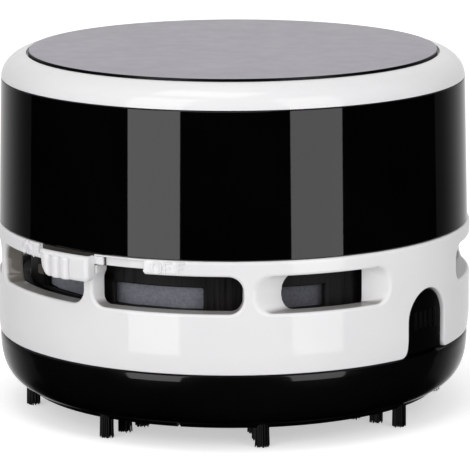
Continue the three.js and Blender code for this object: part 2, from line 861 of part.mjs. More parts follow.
function cellRetainer() {
  const top = retainerBottom + retainerThickness;
  const radius = capSkirtBore - slip;
  const disc = ring(pivotRadius + fit, radius, retainerBottom, top, innerSteps);
  const pieces = [disc];
  const ribTop = retainerBottom + seatGap;
  const keyBottom = bayTop - keyDepth + fit;
  for (const side of [-1, 1]) {
    const x = side * cellPlace;
    for (const along of [-retainerRibSpread, retainerRibSpread]) {
      const [front, back] = [along - retainerRibThickness / 2, along + retainerRibThickness / 2];
      pieces.push(block(x - retainerRibHalf, x + retainerRibHalf, front, back, cellTop + fit, ribTop));
    }
    const middle = side * (bayHalf + bayWall / 2);
    const halfKey = bayWall / 2 - seatGap;
    pieces.push(block(-keyHalfWidth, keyHalfWidth, middle - halfKey, middle + halfKey, keyBottom, ribTop));
  }
  return joined(pieces);
}

// The switch: a grip outside, a slider and wiper inside, two contact strips on the fan wall.
const gripFromAngle = -52.3;
const gripToAngle = -33.9;
const tongueToAngle = -31.7;
const gripBottomDrop = 4.65;
const gripTopDrop = 0.1;
const gripProud = 2.35;
const gripRadius = ventRadius + gripProud;
const gripEdge = 0.6;
const gripRampShare = 0.25;
const gripRampShares = [0, 0.08, 0.17];
const gripMiddleShares = [0.25, 0.5, 0.75];
const gripEndShares = [0.88, 0.96, 1];
const gripEndInset = 0.9;
const gripBand = 0.8;
const tongueTopDrop = 0.3;
const ribCount = 3;
const ribFirstShare = 0.345;
const ribPitchShare = 0.155;
const ribHalfShare = 0.045;
const ribProud = 0.35;
const stemFromAngle = -52.1;
const stemToAngle = -50.2;
const stemDrop = 3.5;
const stemHeight = 1.6;
const sliderFromAngle = -54.2;
const sliderToAngle = -45;
const sliderHeight = 2.2;

// How far the grip's front stands back near its ends: a ramp at the ribbed end, a rounded edge at the other.
function gripInsetAt(share) {
  const ramp = Math.max(0, 1 - share / gripRampShare);
  const past = Math.max(0, (share - gripEndShares[0]) / (1 - gripEndShares[0]));
  return (gripProud - gripEdge) * ramp + gripEndInset * (1 - Math.sqrt(1 - past ** 2));
}

// The grip from the vent wall outwards.
function switchKnob() {
  const bottom = ventTop - gripBottomDrop;
  const top = ventTop - gripTopDrop;
  const back = ventRadius + fit;
  const span = gripToAngle - gripFromAngle;
  const shares = [...gripRampShares, ...gripMiddleShares, ...gripEndShares];
  const sections = shares.map((share) => {
    const inset = gripInsetAt(share);
    const front = gripRadius - inset;
    const edge = Math.min(gripEdge, (front - back) / 2);
    const outline = [
      [back, bottom + inset / 2],
      [front - edge, bottom + inset / 2],
      [front, bottom + inset / 2 + edge],
      [front, top - edge],
      [front - edge, top],
      [back, top],
    ];
    return outline.map(([r, z]) => polar(gripFromAngle + span * share, r, z));
  });
  const pieces = [solidOf(lofted(sections))];
  for (let i = 0; i < ribCount; i++) {
    const share = ribFirstShare + i * ribPitchShare;
    const from = gripFromAngle + span * (share - ribHalfShare);
    const to = gripFromAngle + span * (share + ribHalfShare);
    const [inner, outer] = [gripRadius - gripEdge, gripRadius + ribProud];
    pieces.push(curvedBar(from, to, inner, outer, bottom + gripEdge, top - gripBand));
  }
  const tongueBack = ventRadius - trackDepth + seatGap;
  const tongueBottom = trackBottom + seatGap;
  const tongueTop = ventTop - tongueTopDrop;
  const [rootInner, rootOuter] = [ventRadius - seatGap, back + fit];
  pieces.push(curvedBar(gripFromAngle, tongueToAngle, tongueBack, ventRadius, tongueBottom, tongueTop));
  pieces.push(curvedBar(gripFromAngle, gripToAngle, rootInner, rootOuter, tongueBottom, tongueTop));
  const stemTop = ventTop - stemDrop;
  const [stemInner, stemOuter] = [ventBore - fit / 2, back + fit];
  pieces.push(curvedBar(stemFromAngle, stemToAngle, stemInner, stemOuter, stemTop - stemHeight, stemTop));
  return joined(pieces);
}

function sliderLevels() {
  const middle = ventTop - stemDrop - stemHeight / 2;
  return [middle - sliderHeight / 2, middle + sliderHeight / 2];
}

const contactFaceRadius = fanWallRadius + fit;
const wiperOuter = contactFaceRadius + stripThickness + fit + stripThickness;

function switchSlider() {
  const [bottom, top] = sliderLevels();
  return curvedBar(sliderFromAngle, sliderToAngle, wiperOuter + fit / 2, ventBore - 2 * fit, bottom, top);
}

function switchWiper() {
  const [bottom, top] = sliderLevels();
  const from = sliderFromAngle + wiperInsetAngle;
  return curvedBar(from, from + wiperSpanAngle, wiperOuter - stripThickness, wiperOuter, bottom, top);
}
const wiperInsetAngle = 1;
const wiperSpanAngle = 5;

// A contact strip with a tail that rises to the wires.
const stripHeight = 0.9;
const tailSpanAngle = 2;
const tailTop = ceilingTop + wireRoom / 2 + stripThickness;
const longStripAngles = [-60, -34];
const shortStripAngles = [-56.5, -49];

function contactStrip([from, to], bottom) {
  const outer = contactFaceRadius + stripThickness;
  const strip = curvedBar(from, to, contactFaceRadius, outer, bottom, bottom + stripHeight);
  return strip.add(curvedBar(from, from + tailSpanAngle, contactFaceRadius, outer, bottom, tailTop));
}

// A wire through hand-set points, as a tube with flat ends.
const wireRadius = 0.6;
const wireSteps = 12;
const wireFacets = 8;

function wire(points) {
  const path = new THREE.CatmullRomCurve3(points);
  const section = new THREE.Shape();
  for (let i = 0; i < wireFacets; i++) {
    const swing = (2 * Math.PI * i) / wireFacets;
    const [x, y] = [wireRadius * Math.cos(swing), wireRadius * Math.sin(swing)];
    if (i === 0) section.moveTo(x, y);
    else section.lineTo(x, y);
  }
  section.closePath();
  const options = { steps: wireSteps, extrudePath: path, bevelEnabled: false };
  return solidOf(new THREE.ExtrudeGeometry(section, options));
}

// The dust cup: inlet chimney, floor with a brush groove, rounded outside, spigot into the skirt.
const inletRadius = 9.2;
const inletFlare = 1.1;
const chimneyWall = 1.6;
const chimneyRoom = 3.8;
const chimneyLip = 0.8;
const cornerWidth = 7.6;
const cornerDrop = 11;
const cornerSteps = 5;
const grooveOuterInset = 3.6;
const grooveWidth = 13.9;
const grooveDepth = 2.3;
const grooveOuter = bodyRadius - grooveOuterInset;
const grooveInner = grooveOuter - grooveWidth;
const grooveTop = cupBottom + grooveDepth;
const floorTop = grooveTop + floorThickness;
const tabInner = ventRadius - tabRecess - tabThickness;
const reliefGap = 1.15;

// The level of the rounded corner at a radius.
function cornerLevelAt(radius) {
  const across = Math.max(0, Math.min(1, (radius - bodyRadius + cornerWidth) / cornerWidth));
  return Math.max(cupBottom, cupTop - cornerDrop * Math.sqrt(1 - across ** 2));
}

function dustCup() {
  const corner = [];
  for (let i = 0; i <= cornerSteps; i++) {
    const share = i / cornerSteps;
    const radius = grooveOuter + (bodyRadius - grooveOuter) * Math.sin((share * Math.PI) / 2);
    corner.push([radius, i === cornerSteps ? cupTop - cornerDrop * rimShare : cornerLevelAt(radius)]);
  }
  const rim = cupTop - seatGap;
  const chimneyTop = filterBottom - chimneyRoom;
  const chimneyRadius = inletRadius + chimneyWall;
  const cup = turned([
    [inletRadius, cupBottom + inletFlare],
    [inletRadius + inletFlare, cupBottom],
    [grooveInner, cupBottom],
    [grooveInner, grooveTop],
    [grooveOuter, grooveTop],
    ...corner,
    [bodyRadius, rim],
    [spigotRadius, rim],
    [spigotRadius, spigotTop],
    [spigotBore, spigotTop],
    [spigotBore, floorTop],
    [chimneyRadius, floorTop],
    [chimneyRadius, chimneyTop - chimneyLip],
    [chimneyRadius + chimneyLip, chimneyTop],
    [inletRadius + chimneyLip, chimneyTop],
    [inletRadius, chimneyTop - 2 * chimneyLip],
  ], shellSteps);
  const [back, front] = [tabInner - reliefGap, ventRadius + cutOver];
  const reliefs = latchAngles.map((angle) => (
    blockAt(angle, archHalfWidth + tabGap, back, front, rim, spigotTop + cutOver)
  ));
  return cut(cup, reliefs);
}
const rimShare = 0.22;

function cupSeal() {
  const outer = spigotRadius - 2 * fit;
  return ring(spigotBore, outer, spigotTop, spigotTop + sealHeight, innerSteps);
}

// One latch tab at the front: an arch plate with grip ribs.
const tabRibCount = 5;
const tabRibHalf = 0.3;
const tabRibPitch = 1.4;
const tabRibProud = 0.25;
const tabRibLift = 3.5;
const tabRibDrop = 2.5;

function latchTab() {
  const foot = cupTop + seatGap + fit / 2;
  const halfWidth = archHalfWidth - tabGap;
  const crown = cupTop + archHeight - tabGap;
  const plate = solidOf(upright(archShape(halfWidth, foot, crown, 0), tabInner, tabInner + tabThickness));
  const pieces = [plate];
  const face = tabInner + tabThickness;
  const bottom = foot + tabRibLift;
  for (let i = 0; i < tabRibCount; i++) {
    const x = (i - (tabRibCount - 1) / 2) * tabRibPitch;
    const [front, back] = [-face - tabRibProud, -face + tabRibProud];
    pieces.push(block(x - tabRibHalf, x + tabRibHalf, front, back, bottom, crown - tabRibDrop));
  }
  return joined(pieces);
}

// One quarter of the brush ring with two rows of three tufts, centred at the front.
const brushCount = 4;
const brushFirstAngle = 30.1;
const brushSplitAngle = 0.8;
const rowSpreadAngle = 45;
const tuftInset = 1.7;
const tuftsInRow = 3;
const strandRings = [{ count: 1, radius: 0 }, { count: 4, radius: 0.55 }, { count: 8, radius: 1.1 }];
const strandRadius = 0.3;
const strandSides = 3;
const strandSplay = 1.22;
const strandRoot = 0.6;

function brushSector() {
  const inner = grooveInner + fit;
  const outer = grooveOuter - fit;
  const top = grooveTop - fit;
  const flatEnd = outer - brushCorner;
  const backing = turned([
    [inner, cupBottom],
    [flatEnd, cupBottom],
    [outer - brushCorner / 2, cornerLevelAt(outer - brushCorner / 2)],
    [outer, cornerLevelAt(outer)],
    [outer, top],
    [inner, top],
  ], shellSteps);
  const half = 180 / brushCount - brushSplitAngle / 2;
  const piece = slice(backing, -half, half, outer, 0, top + cutOver);
  const strands = [];
  const pitch = (outer - inner - 2 * tuftInset) / (tuftsInRow - 1);
  const root = cornerLevelAt(outer - tuftInset + strandRings[strandRings.length - 1].radius) + strandRoot;
  for (const row of [-rowSpreadAngle / 2, rowSpreadAngle / 2]) {
    for (let i = 0; i < tuftsInRow; i++) {
      strands.push(...tuft(polar(row, outer - tuftInset - i * pitch, 0), row, root));
    }
  }
  return joined([piece, ...strands]);
}
const brushCorner = 1.4;

// The strands of one tuft: straight, splayed a little and cut flat at z = 0.
function tuft(centre, row, rootLevel) {
  const strands = [];
  for (const { count, radius } of strandRings) {
    for (let i = 0; i < count; i++) {
      const swing = rad(row) + (2 * Math.PI * i) / count;
      const offset = new THREE.Vector3(Math.cos(swing), Math.sin(swing), 0);
      const root = centre.clone().addScaledVector(offset, radius).setZ(rootLevel);
      const tip = centre.clone().addScaledVector(offset, radius * strandSplay).setZ(0);
      strands.push(solidOf(lofted([strandSection(root, swing), strandSection(tip, swing)])));
    }
  }
  return strands;
}

function strandSection(place, turn) {
  const section = [];
  for (let j = 0; j < strandSides; j++) {
    const swing = turn + (2 * Math.PI * j) / strandSides;
    const [x, y] = [place.x + strandRadius * Math.cos(swing), place.y + strandRadius * Math.sin(swing)];
    section.push(new THREE.Vector3(x, y, place.z));
  }
  return section;
}

// Assembly

function buildShells() {
  add("vent_shell", ventShell(), whitePlastic);
  add("drum_shell", drumShell(), glossBlack);
  add("chassis", chassis(), innerBlack);
}

function buildFan() {
  add("fan_housing", fanHousing(), innerBlack);
  add("exhaust_filter", exhaustFilter(), filterCloth);
  add("intake_plate", intakePlate(), innerBlack);
  add("filter_frame", filterFrame(), satinBlack);
  add("filter_screen", filterScreen(), filterCloth);
  add("impeller", impeller(), innerBlack);
  add("motor_shaft", motorShaft(), steel);
  const fanScrewLength = ceilingBottom - boreMargin - ledgeLevel - countersinkDepth - fit;
  postAngles.forEach((angle, i) => {
    const mesh = add(`fan_screw_${i + 1}`, screw(fanScrewLength), steel);
    mesh.rotation.x = Math.PI;
    mesh.position.copy(polar(angle, postCircle, ledgeLevel + countersinkDepth));
  });
  bossAngles.forEach((angle, i) => {
    const mesh = add(`chassis_screw_${i + 1}`, screw(deckTop - ceilingBottom - fit), steel);
    mesh.position.copy(polar(angle, bossCircle, deckTop));
  });
}

function buildMotor() {
  add("motor_can", motorCan(), steel);
  add("motor_end_cap", motorEndCap(), whitePlastic);
  add("armature", armature(), copper);
  [0, 180].forEach((turn, i) => {
    add(`magnet_${i + 1}`, magnet(), magnetGrey).rotation.z = rad(90 + turn);
    const side = i ? 1 : -1;
    const halfThickness = terminalThickness / 2;
    const half = terminalHalfWidth;
    const blade = block(-halfThickness, halfThickness, -half, half, motorTop, motorTop + terminalHeight);
    add(`terminal_${i + 1}`, blade, brass).position.x = side * terminalPlace;
  });
}

// The cells lie head to tail: the first has its nub at the front, the second at the back.
function buildCells() {
  const nubFace = bayHalf - contactThickness;
  const middle = nubFace - (cellBody + nubLength) / 2;
  const cells = [
    { x: cellPlace, nub: -1 },
    { x: -cellPlace, nub: 1 },
  ];
  cells.forEach(({ x, nub }, i) => {
    const body = add(`cell_${i + 1}`, cell(), cellSleeve);
    body.rotation.z = nub > 0 ? 0 : Math.PI;
    body.position.set(x, nub * middle, cellCentre);
    const spring = add(`cell_spring_${i + 1}`, cellSpring(), steel);
    spring.rotation.z = nub > 0 ? Math.PI : 0;
    spring.position.set(x, -nub * (nubFace - springRoom + springWire + seatGap), cellCentre);
  });
  [1, -1].forEach((side, i) => {
    const x = side * cellPlace;
    const plate = contactPlate(x - contactHalfWidth, x + contactHalfWidth);
    add(`cell_plate_${i + 1}`, plate, steel).position.y = -bayHalf + contactThickness;
  });
  const reach = cellPlace + contactHalfWidth;
  add("bridge_plate", contactPlate(-reach, reach), steel).position.y = bayHalf;
}

function buildWires() {
  const wireLevel = ceilingTop + wireRoom / 2;
  const innerFace = contactFaceRadius - fit - wireRadius;
  const plateEdge = cellPlace - contactHalfWidth;
  const plateFront = -bayHalf + wireRadius + fit;
  const over = motorTop + wireRadius + fit;
  const riser = deckTop + sleeveHeight / 2;
  const terminalFront = -terminalHalfWidth - 2 * fit;
  const halfHole = wireHoleRadius / 2;
  const besideCap = -motorRadius - wireRadius - fit;
  const longTail = polar(longStripAngles[0] + tailSpanAngle / 2, innerFace, wireLevel);
  const shortTail = polar(shortStripAngles[0] + tailSpanAngle / 2, innerFace, wireLevel);
  const deckMiddle = (deckBottom + deckTop) / 2;
  add("battery_wire", wire([
    shortTail,
    polar(-50, innerFace - 4 * wireRadius, wireLevel),
    new THREE.Vector3(-3 * wireHoleRadius, wireHoleY - 2 * wireRadius, wireLevel),
    new THREE.Vector3(-wireHoleRadius + wireRadius, wireHoleY - wireRadius, wireLevel + wireRadius / 4),
    new THREE.Vector3(-halfHole, wireHoleY - wireRadius, deckMiddle),
    new THREE.Vector3(-halfHole, wireHoleY - 2 * wireRadius, deckTop + halfHole),
    new THREE.Vector3(-plateEdge / 2, plateFront + 2 * wireRadius, riser + halfHole),
    new THREE.Vector3(-plateEdge + 5 * wireRadius, plateFront + wireRadius / 4, cellCentre - wireRadius),
    new THREE.Vector3(-plateEdge + fit, plateFront, cellCentre),
  ]), redWire);
  add("switch_wire", wire([
    longTail,
    polar(-52, innerFace - 13 * wireRadius, wireLevel),
    new THREE.Vector3(-wireHoleRadius, wireHoleY + 2 * wireRadius, wireLevel + wireRadius / 4),
    new THREE.Vector3(0, wireHoleY + 2 * wireRadius, deckMiddle),
    new THREE.Vector3(-wireRadius, -sleeveRadius - 4 * wireRadius, riser),
    new THREE.Vector3(-2 * wireRadius, -sleeveRadius - 2 * wireRadius, canTop - endCapHeight),
    new THREE.Vector3(-terminalPlace / 2, besideCap, over),
    new THREE.Vector3(-terminalPlace, besideCap / 2, over + fit),
    new THREE.Vector3(-terminalPlace, terminalFront, over),
  ]), redWire);
  add("return_wire", wire([
    new THREE.Vector3(plateEdge - fit, plateFront, cellCentre),
    new THREE.Vector3(plateEdge - 5 * wireRadius, plateFront + wireRadius / 4, cellCentre + wireRadius),
    new THREE.Vector3(plateEdge * wireTurnShare, plateFront + 4 * wireRadius, cellTop),
    new THREE.Vector3(terminalPlace, besideCap, over),
    new THREE.Vector3(terminalPlace, besideCap / 2, over + fit),
    new THREE.Vector3(terminalPlace, terminalFront, over),
  ]), blackWire);
}
const wireTurnShare = 0.7;

function buildSwitch() {
  add("switch_knob", switchKnob(), whitePlastic);
  add("switch_slider", switchSlider(), innerBlack);
  add("switch_wiper", switchWiper(), brass);
  const [bottom, top] = sliderLevels();
  add("switch_contact_1", contactStrip(longStripAngles, bottom), brass);
  add("switch_contact_2", contactStrip(shortStripAngles, top - stripHeight), brass);
}

function buildCap() {
  add("top_cap", topCap(), whitePlastic);
  add("top_disc", topDisc(), greyPlastic);
  add("cell_retainer", cellRetainer(), innerBlack);
  add("lid_pivot_screw", pivotScrew(), steel);
}

// The shouldered screw whose head holds the retainer on the cap's pivot.
const pivotHeadRadius = 4.2;

function pivotScrew() {
  const tip = pivotBoreTop - fit;
  return turned([
    [0, capBottom - screwHeadHeight],
    [pivotHeadRadius, capBottom - screwHeadHeight],
    [pivotHeadRadius, capBottom - fit / 2],
    [screwRadius, capBottom - fit / 2],
    [screwRadius, tip],
    [0, tip],
  ], smallSteps);
}

function buildCup() {
  add("dust_cup", dustCup(), satinBlack);
  add("cup_seal", cupSeal(), rubber);
  for (let i = 0; i < brushCount; i++) {
    const angle = brushFirstAngle + (i * 360) / brushCount;
    add(`brush_sector_${i + 1}`, brushSector(), bristleBlack).rotation.z = rad(angle);
  }
  latchSides.forEach((side, i) => {
    add(`latch_tab_${side}`, latchTab(), satinBlack).rotation.z = rad(latchAngles[i]);
  });
}

buildShells();
buildFan();
buildMotor();
buildCells();
buildWires();
buildSwitch();
buildCap();
buildCup();

export default part;
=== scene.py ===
import json
import math

import bmesh
import bpy
import numpy as np
from mathutils import Matrix, Vector


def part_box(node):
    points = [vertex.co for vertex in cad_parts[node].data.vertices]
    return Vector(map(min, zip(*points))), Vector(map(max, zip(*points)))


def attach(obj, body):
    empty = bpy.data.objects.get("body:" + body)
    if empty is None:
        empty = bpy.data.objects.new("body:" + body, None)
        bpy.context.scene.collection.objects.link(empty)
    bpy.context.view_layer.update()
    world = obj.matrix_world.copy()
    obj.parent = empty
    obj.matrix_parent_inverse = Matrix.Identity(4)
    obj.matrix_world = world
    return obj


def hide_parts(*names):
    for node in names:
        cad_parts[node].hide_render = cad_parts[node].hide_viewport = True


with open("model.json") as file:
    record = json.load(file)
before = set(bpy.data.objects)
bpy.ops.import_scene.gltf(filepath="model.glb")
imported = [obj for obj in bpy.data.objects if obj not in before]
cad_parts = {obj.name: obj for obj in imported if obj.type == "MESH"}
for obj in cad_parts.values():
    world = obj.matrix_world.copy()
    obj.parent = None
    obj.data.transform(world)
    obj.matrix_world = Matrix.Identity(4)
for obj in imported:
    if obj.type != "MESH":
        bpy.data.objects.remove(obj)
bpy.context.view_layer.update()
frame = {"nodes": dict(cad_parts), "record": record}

MM = 0.001

# Sizes read from the frame


def extent(node):
    low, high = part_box(node)
    return np.array(low) / MM, np.array(high) / MM


vent_low, vent_high = extent("vent_shell")
drum_low, drum_high = extent("drum_shell")
cap_high = extent("top_cap")[1]
disc_low, disc_high = extent("top_disc")
cup_low, cup_high = extent("dust_cup")
fan_high = extent("fan_housing")[1]
plate_high = extent("intake_plate")[1]
filter_low = extent("filter_frame")[0]

VENT_RADIUS = vent_high[0]
BODY_RADIUS = cup_high[0]
CUP_BOTTOM = cup_low[2]
CUP_TOP = vent_low[2]
SPIGOT_TOP = cup_high[2]
VENT_TOP = drum_low[2]
DRUM_TOP = drum_high[2]
CAP_TOP = cap_high[2]
DISC_BOTTOM = disc_low[2]
DISC_TOP = disc_high[2]
DISC_RADIUS = disc_high[0]
DRUM_FOOT_RADIUS = drum_high[0]
FAN_WALL_RADIUS = fan_high[0]

# Walls and clearances of the shells
DRUM_TAPER = 0.63
DRUM_WALL = 1.7
VENT_WALL = 3.3
SKIRT_WALL = 2.25
SPIGOT_WALL = 1.9
LEDGE_LEVEL = 22.3
SEAT_GAP = 0.2
SPIGOT_GAP = 0.3
DRUM_HEAD_RADIUS = DRUM_FOOT_RADIUS - DRUM_TAPER
DRUM_BORE = DRUM_HEAD_RADIUS - DRUM_WALL
VENT_BORE = VENT_RADIUS - VENT_WALL
SKIRT_BORE = VENT_RADIUS - SKIRT_WALL
# Length of one degree along the body's wall
ARC_DEGREE = math.radians(1) * VENT_RADIUS

LATHE_STEPS = 192
SHARP_ANGLE = 32


# Mesh helpers


def polar(angle, radius, height=0.0):
    swing = np.radians(angle)
    return np.stack(np.broadcast_arrays(radius * np.sin(swing), -radius * np.cos(swing), height), -1)


def turn(angle):
    """The same angle between -180 and 180."""
    return (angle + 180) % 360 - 180


def add_object(name, data):
    made = bpy.data.objects.new(name, data)
    bpy.context.scene.collection.objects.link(made)
    return made


def make_object(name, points, faces):
    mesh = bpy.data.meshes.new(name)
    mesh.from_pydata((np.asarray(points, float) * MM).tolist(), [], [list(face) for face in faces])
    mesh.validate()
    mesh.update()
    mesh.shade_smooth()
    return add_object(name, mesh)


def with_bmesh(obj, change):
    """Runs a change on the object's mesh as a bmesh."""
    bm = bmesh.new()
    bm.from_mesh(obj.data)
    change(bm)
    bm.to_mesh(obj.data)
    bm.free()
    obj.data.update()


def face_out(bm):
    bmesh.ops.recalc_face_normals(bm, faces=bm.faces)


def sharpen(obj):
    """Smooth shading, with sharp edges where the surface turns by more than the sharp angle."""
    obj.data.shade_smooth()
    obj.data.set_sharp_from_angle(angle=math.radians(SHARP_ANGLE))


def tube_faces(start, count, rings, wrap=False):
    """Faces of a tube whose points begin at start, in rings of count. Its ends are closed, or wrap round."""
    faces = []
    for i in range(rings if wrap else rings - 1):
        here, there = start + i * count, start + (i + 1) % rings * count
        for j in range(count):
            k = (j + 1) % count
            faces.append((here + j, here + k, there + k, there + j))
    if not wrap:
        last = start + (rings - 1) * count
        faces += [tuple(range(start, start + count)), tuple(range(last + count - 1, last - 1, -1))]
    return faces


def lathe(name, profile):
    """A closed profile of (radius, height) points turned round the Z axis."""
    profile = np.array(profile, float)
    angles = np.arange(LATHE_STEPS) * 360 / LATHE_STEPS
    points = np.concatenate([polar(angle, profile[:, 0], profile[:, 1]) for angle in angles])
    made = make_object(name, points, tube_faces(0, len(profile), LATHE_STEPS, wrap=True))

    def clean(bm):
        bmesh.ops.remove_doubles(bm, verts=bm.verts, dist=1e-7)
        bmesh.ops.dissolve_degenerate(bm, edges=bm.edges, dist=1e-8)
        face_out(bm)

    with_bmesh(made, clean)
    sharpen(made)
    return made


def curved_plate(name, angles, radii, heights, bevel, steps=24):
    """A plate bent round the axis, its long outer edges bevelled."""
    (inner, outer), (bottom, top) = radii, heights
    section = [
        (inner, bottom), (outer - bevel, bottom), (outer, bottom + bevel),
        (outer, top - bevel), (outer - bevel, top), (inner, top),
    ]
    points = []
    for i in range(steps + 1):
        angle = angles[0] + (angles[1] - angles[0]) * i / steps
        points += [polar(angle, radius, height) for radius, height in section]
    made = make_object(name, points, tube_faces(0, len(section), steps + 1))
    with_bmesh(made, face_out)
    sharpen(made)
    return made


def arc(centre, radii, start, end, steps):
    """Points of an elliptic arc in the plane of a profile, from a start to an end angle."""
    swings = np.radians(np.linspace(start, end, steps + 1))
    return [(centre[0] + radii[0] * math.cos(s), centre[1] + radii[1] * math.sin(s)) for s in swings]


def joined(name, objects):
    """Several meshes as one object."""
    bm = bmesh.new()
    for obj in objects:
        bm.from_mesh(obj.data)
        bpy.data.objects.remove(obj)
    mesh = bpy.data.meshes.new(name)
    bm.to_mesh(mesh)
    bm.free()
    made = add_object(name, mesh)
    sharpen(made)
    return made


def apply_modifiers(obj):
    """Bakes the object's modifiers into its mesh."""
    graph = bpy.context.evaluated_depsgraph_get()
    graph.update()
    mesh = bpy.data.meshes.new_from_object(obj.evaluated_get(graph))
    obj.modifiers.clear()
    obj.data = mesh


def cut_out(obj, cutters):
    """Subtracts other objects from this one and removes them."""
    for cutter in cutters:
        boolean = obj.modifiers.new("cut", "BOOLEAN")
        boolean.operation = "DIFFERENCE"
        boolean.solver = "EXACT"
        boolean.object = cutter
    apply_modifiers(obj)
    for cutter in cutters:
        bpy.data.objects.remove(cutter)
    sharpen(obj)


# Rounded forms: the surface where a distance field, sampled on a grid, crosses zero


def smooth_max(a, b, width):
    share = np.clip(0.5 + 0.5 * (a - b) / width, 0, 1)
    return b + (a - b) * share + width * share * (1 - share)


def smooth_min(a, b, width):
    return -smooth_max(-a, -b, width)


def box_distance(offsets, halves, corner):
    """Distance to a rectangle whose corners are rounded."""
    across, along = (np.abs(offset) - half + corner for offset, half in zip(offsets, halves))
    outside = np.sqrt(np.maximum(across, 0) ** 2 + np.maximum(along, 0) ** 2)
    return outside + np.minimum(np.maximum(across, along), 0) - corner


def surface_net(values, wrap):
    """Points, in grid steps, and quads of the surface where the sampled values cross zero."""
    if wrap:
        values = np.concatenate([values, values[:1]])
    cells = tuple(n - 1 for n in values.shape)
    total = np.zeros((*cells, 3), np.float32)
    count = np.zeros(cells, np.float32)
    edges = []
    for axis in range(3):
        low = np.delete(values, -1, axis)
        high = np.delete(values, 0, axis)
        crossed = (low < 0) != (high < 0)
        share = np.where(crossed, low / np.where(crossed, low - high, 1), 0)
        edges.append((crossed, low < 0))
        others = [k for k in range(3) if k != axis]
        for shift in ((0, 0), (0, 1), (1, 0), (1, 1)):
            part = [slice(None)] * 3
            for k, step in zip(others, shift):
                part[k] = slice(step, step + cells[k])
            hit = crossed[tuple(part)]
            count += hit
            total[..., axis] += share[tuple(part)]
            for k, step in zip(others, shift):
                total[..., k] += step * hit
    active = count > 0
    number = np.full(cells, -1)
    number[active] = np.arange(active.sum())
    points = np.argwhere(active) + total[active] / count[active][:, None]
    quads = []
    for axis in range(3):
        crossed, inward = edges[axis]
        b, c = (axis + 1) % 3, (axis + 2) % 3
        at = np.argwhere(crossed)
        if wrap and axis != 0:
            at = at[at[:, 0] < cells[0]]
        for k in (b, c):
            if not (wrap and k == 0):
                at = at[(at[:, k] > 0) & (at[:, k] < cells[k])]
        corners = []
        for shift in ((1, 1), (0, 1), (0, 0), (1, 0)):
            cell = at.copy()
            cell[:, b] -= shift[0]
            cell[:, c] -= shift[1]
            corners.append(number[tuple((cell % cells).T)])
        faces = np.stack(corners, -1)
        flipped = ~inward[tuple(at.T)]
        faces[flipped] = faces[flipped][:, ::-1]
        quads.append(faces)
    return points, np.concatenate(quads)


def from_round(angle, height, radius):
    """Coordinates of a wrapped sheet, angle, height and radius, as x, y, z."""
    return polar(angle, radius, height)


def to_round(places):
    x, y, z = places.T
    return np.degrees(np.arctan2(x, -y)), z, np.hypot(x, y)


def grown(name, field, ranges, step, keep, to_space=from_round, from_space=to_round, wrap=False):
    """A mesh of the field's zero surface. The field takes three coordinates, to_space turns them
    into x, y, z, and from_space turns them back. The mesh keeps a share of its faces."""
    axes = []
    for (low, high), size in zip(ranges, step):
        steps = max(2, round((high - low) / size))
        whole = wrap and not axes
        axes.append(low + (high - low) * np.arange(steps if whole else steps + 1) / steps)
    grid = np.meshgrid(*axes, indexing="ij", sparse=True)
    values = np.broadcast_to(field(*grid), tuple(len(axis) for axis in axes)).astype(np.float32)
    points, quads = surface_net(values, wrap)
    starts = np.array([axis[0] for axis in axes])
    widths = np.array([axis[1] - axis[0] for axis in axes])
    made = make_object(name, to_space(*(starts + points * widths).T), quads)
    with_bmesh(made, face_out)
    thinner = made.modifiers.new("thin", "DECIMATE")
    thinner.ratio = keep
    apply_modifiers(made)
    count = len(made.data.vertices)
    places = np.empty(count * 3)
    made.data.vertices.foreach_get("co", places)
    places = places.reshape(-1, 3) / MM
    normals = np.empty((count, 3))
    reach = 0.03
    for axis in range(3):
        offset = np.zeros(3)
        offset[axis] = reach
        normals[:, axis] = field(*from_space(places + offset)) - field(*from_space(places - offset))
    normals /= np.maximum(np.linalg.norm(normals, axis=1, keepdims=True), 1e-9)
    made.data.shade_smooth()
    made.data.normals_split_custom_set_from_vertices(normals.tolist())
    return made


# The vented body

FOOT_INSET = 0.3
FOOT_RISE = 3.7
SHOULDER_INSET = 0.15
SHOULDER_DROP = 0.7
SLOT_TOP = VENT_TOP - 2.65
SLOT_HEIGHT = 6.55
SLOT_CORNER = 2.7
# Ends of each slot outside and inside, and its inner corners
SLOTS = [
    ((-112.2, -76.4), (-110.8, -77.8), (2.7, 2.7)),
    ((-73.8, -37.6), (-71.4, -38.4), (3.0, 2.2)),
    ((-34.9, 2.3), (-34.2, 2.1), (2.0, 2.7)),
    ((4.8, 39.4), (12.5, 33.6), (3.2, 0.3)),
]
SILL_RISE = 0.2
LOW_CORNER = 0.75
LATCH_ANGLES = (53.1, -126.9)
ARCH_HALF_WIDTH = 5.45
ARCH_CROWN = CUP_TOP + 11.66
ARCH_FLARE = 1.1
TRACK_ANGLES = (-53.0, -21.2)
TRACK_DEPTH = 0.75
TRACK_BOTTOM = VENT_TOP - 1.9
NOTCH_START = -33.6
FLANGE = 1.2
VENT_SPIGOT_WALL = 1.5
DECK_BOTTOM = vent_high[2]
# Roundings of the edges
SHOULDER_ROUNDING = 0.35
FOOT_ROUNDING = 0.3
SLOT_ROUNDING = 0.55
ARCH_ROUNDING = 0.4
TRACK_ROUNDING = 0.12
NOTCH_ROUNDING = 0.25


def span_distance(angle, height, span, bottom, top, corner):
    """Distance to a rounded rectangle on the body between two angles and two heights."""
    middle = (span[0] + span[1]) / 2
    half = (span[1] - span[0]) / 2 * ARC_DEGREE
    across = turn(angle - middle) * ARC_DEGREE
    return box_distance((across, height - (bottom + top) / 2), (half, (top - bottom) / 2), corner)


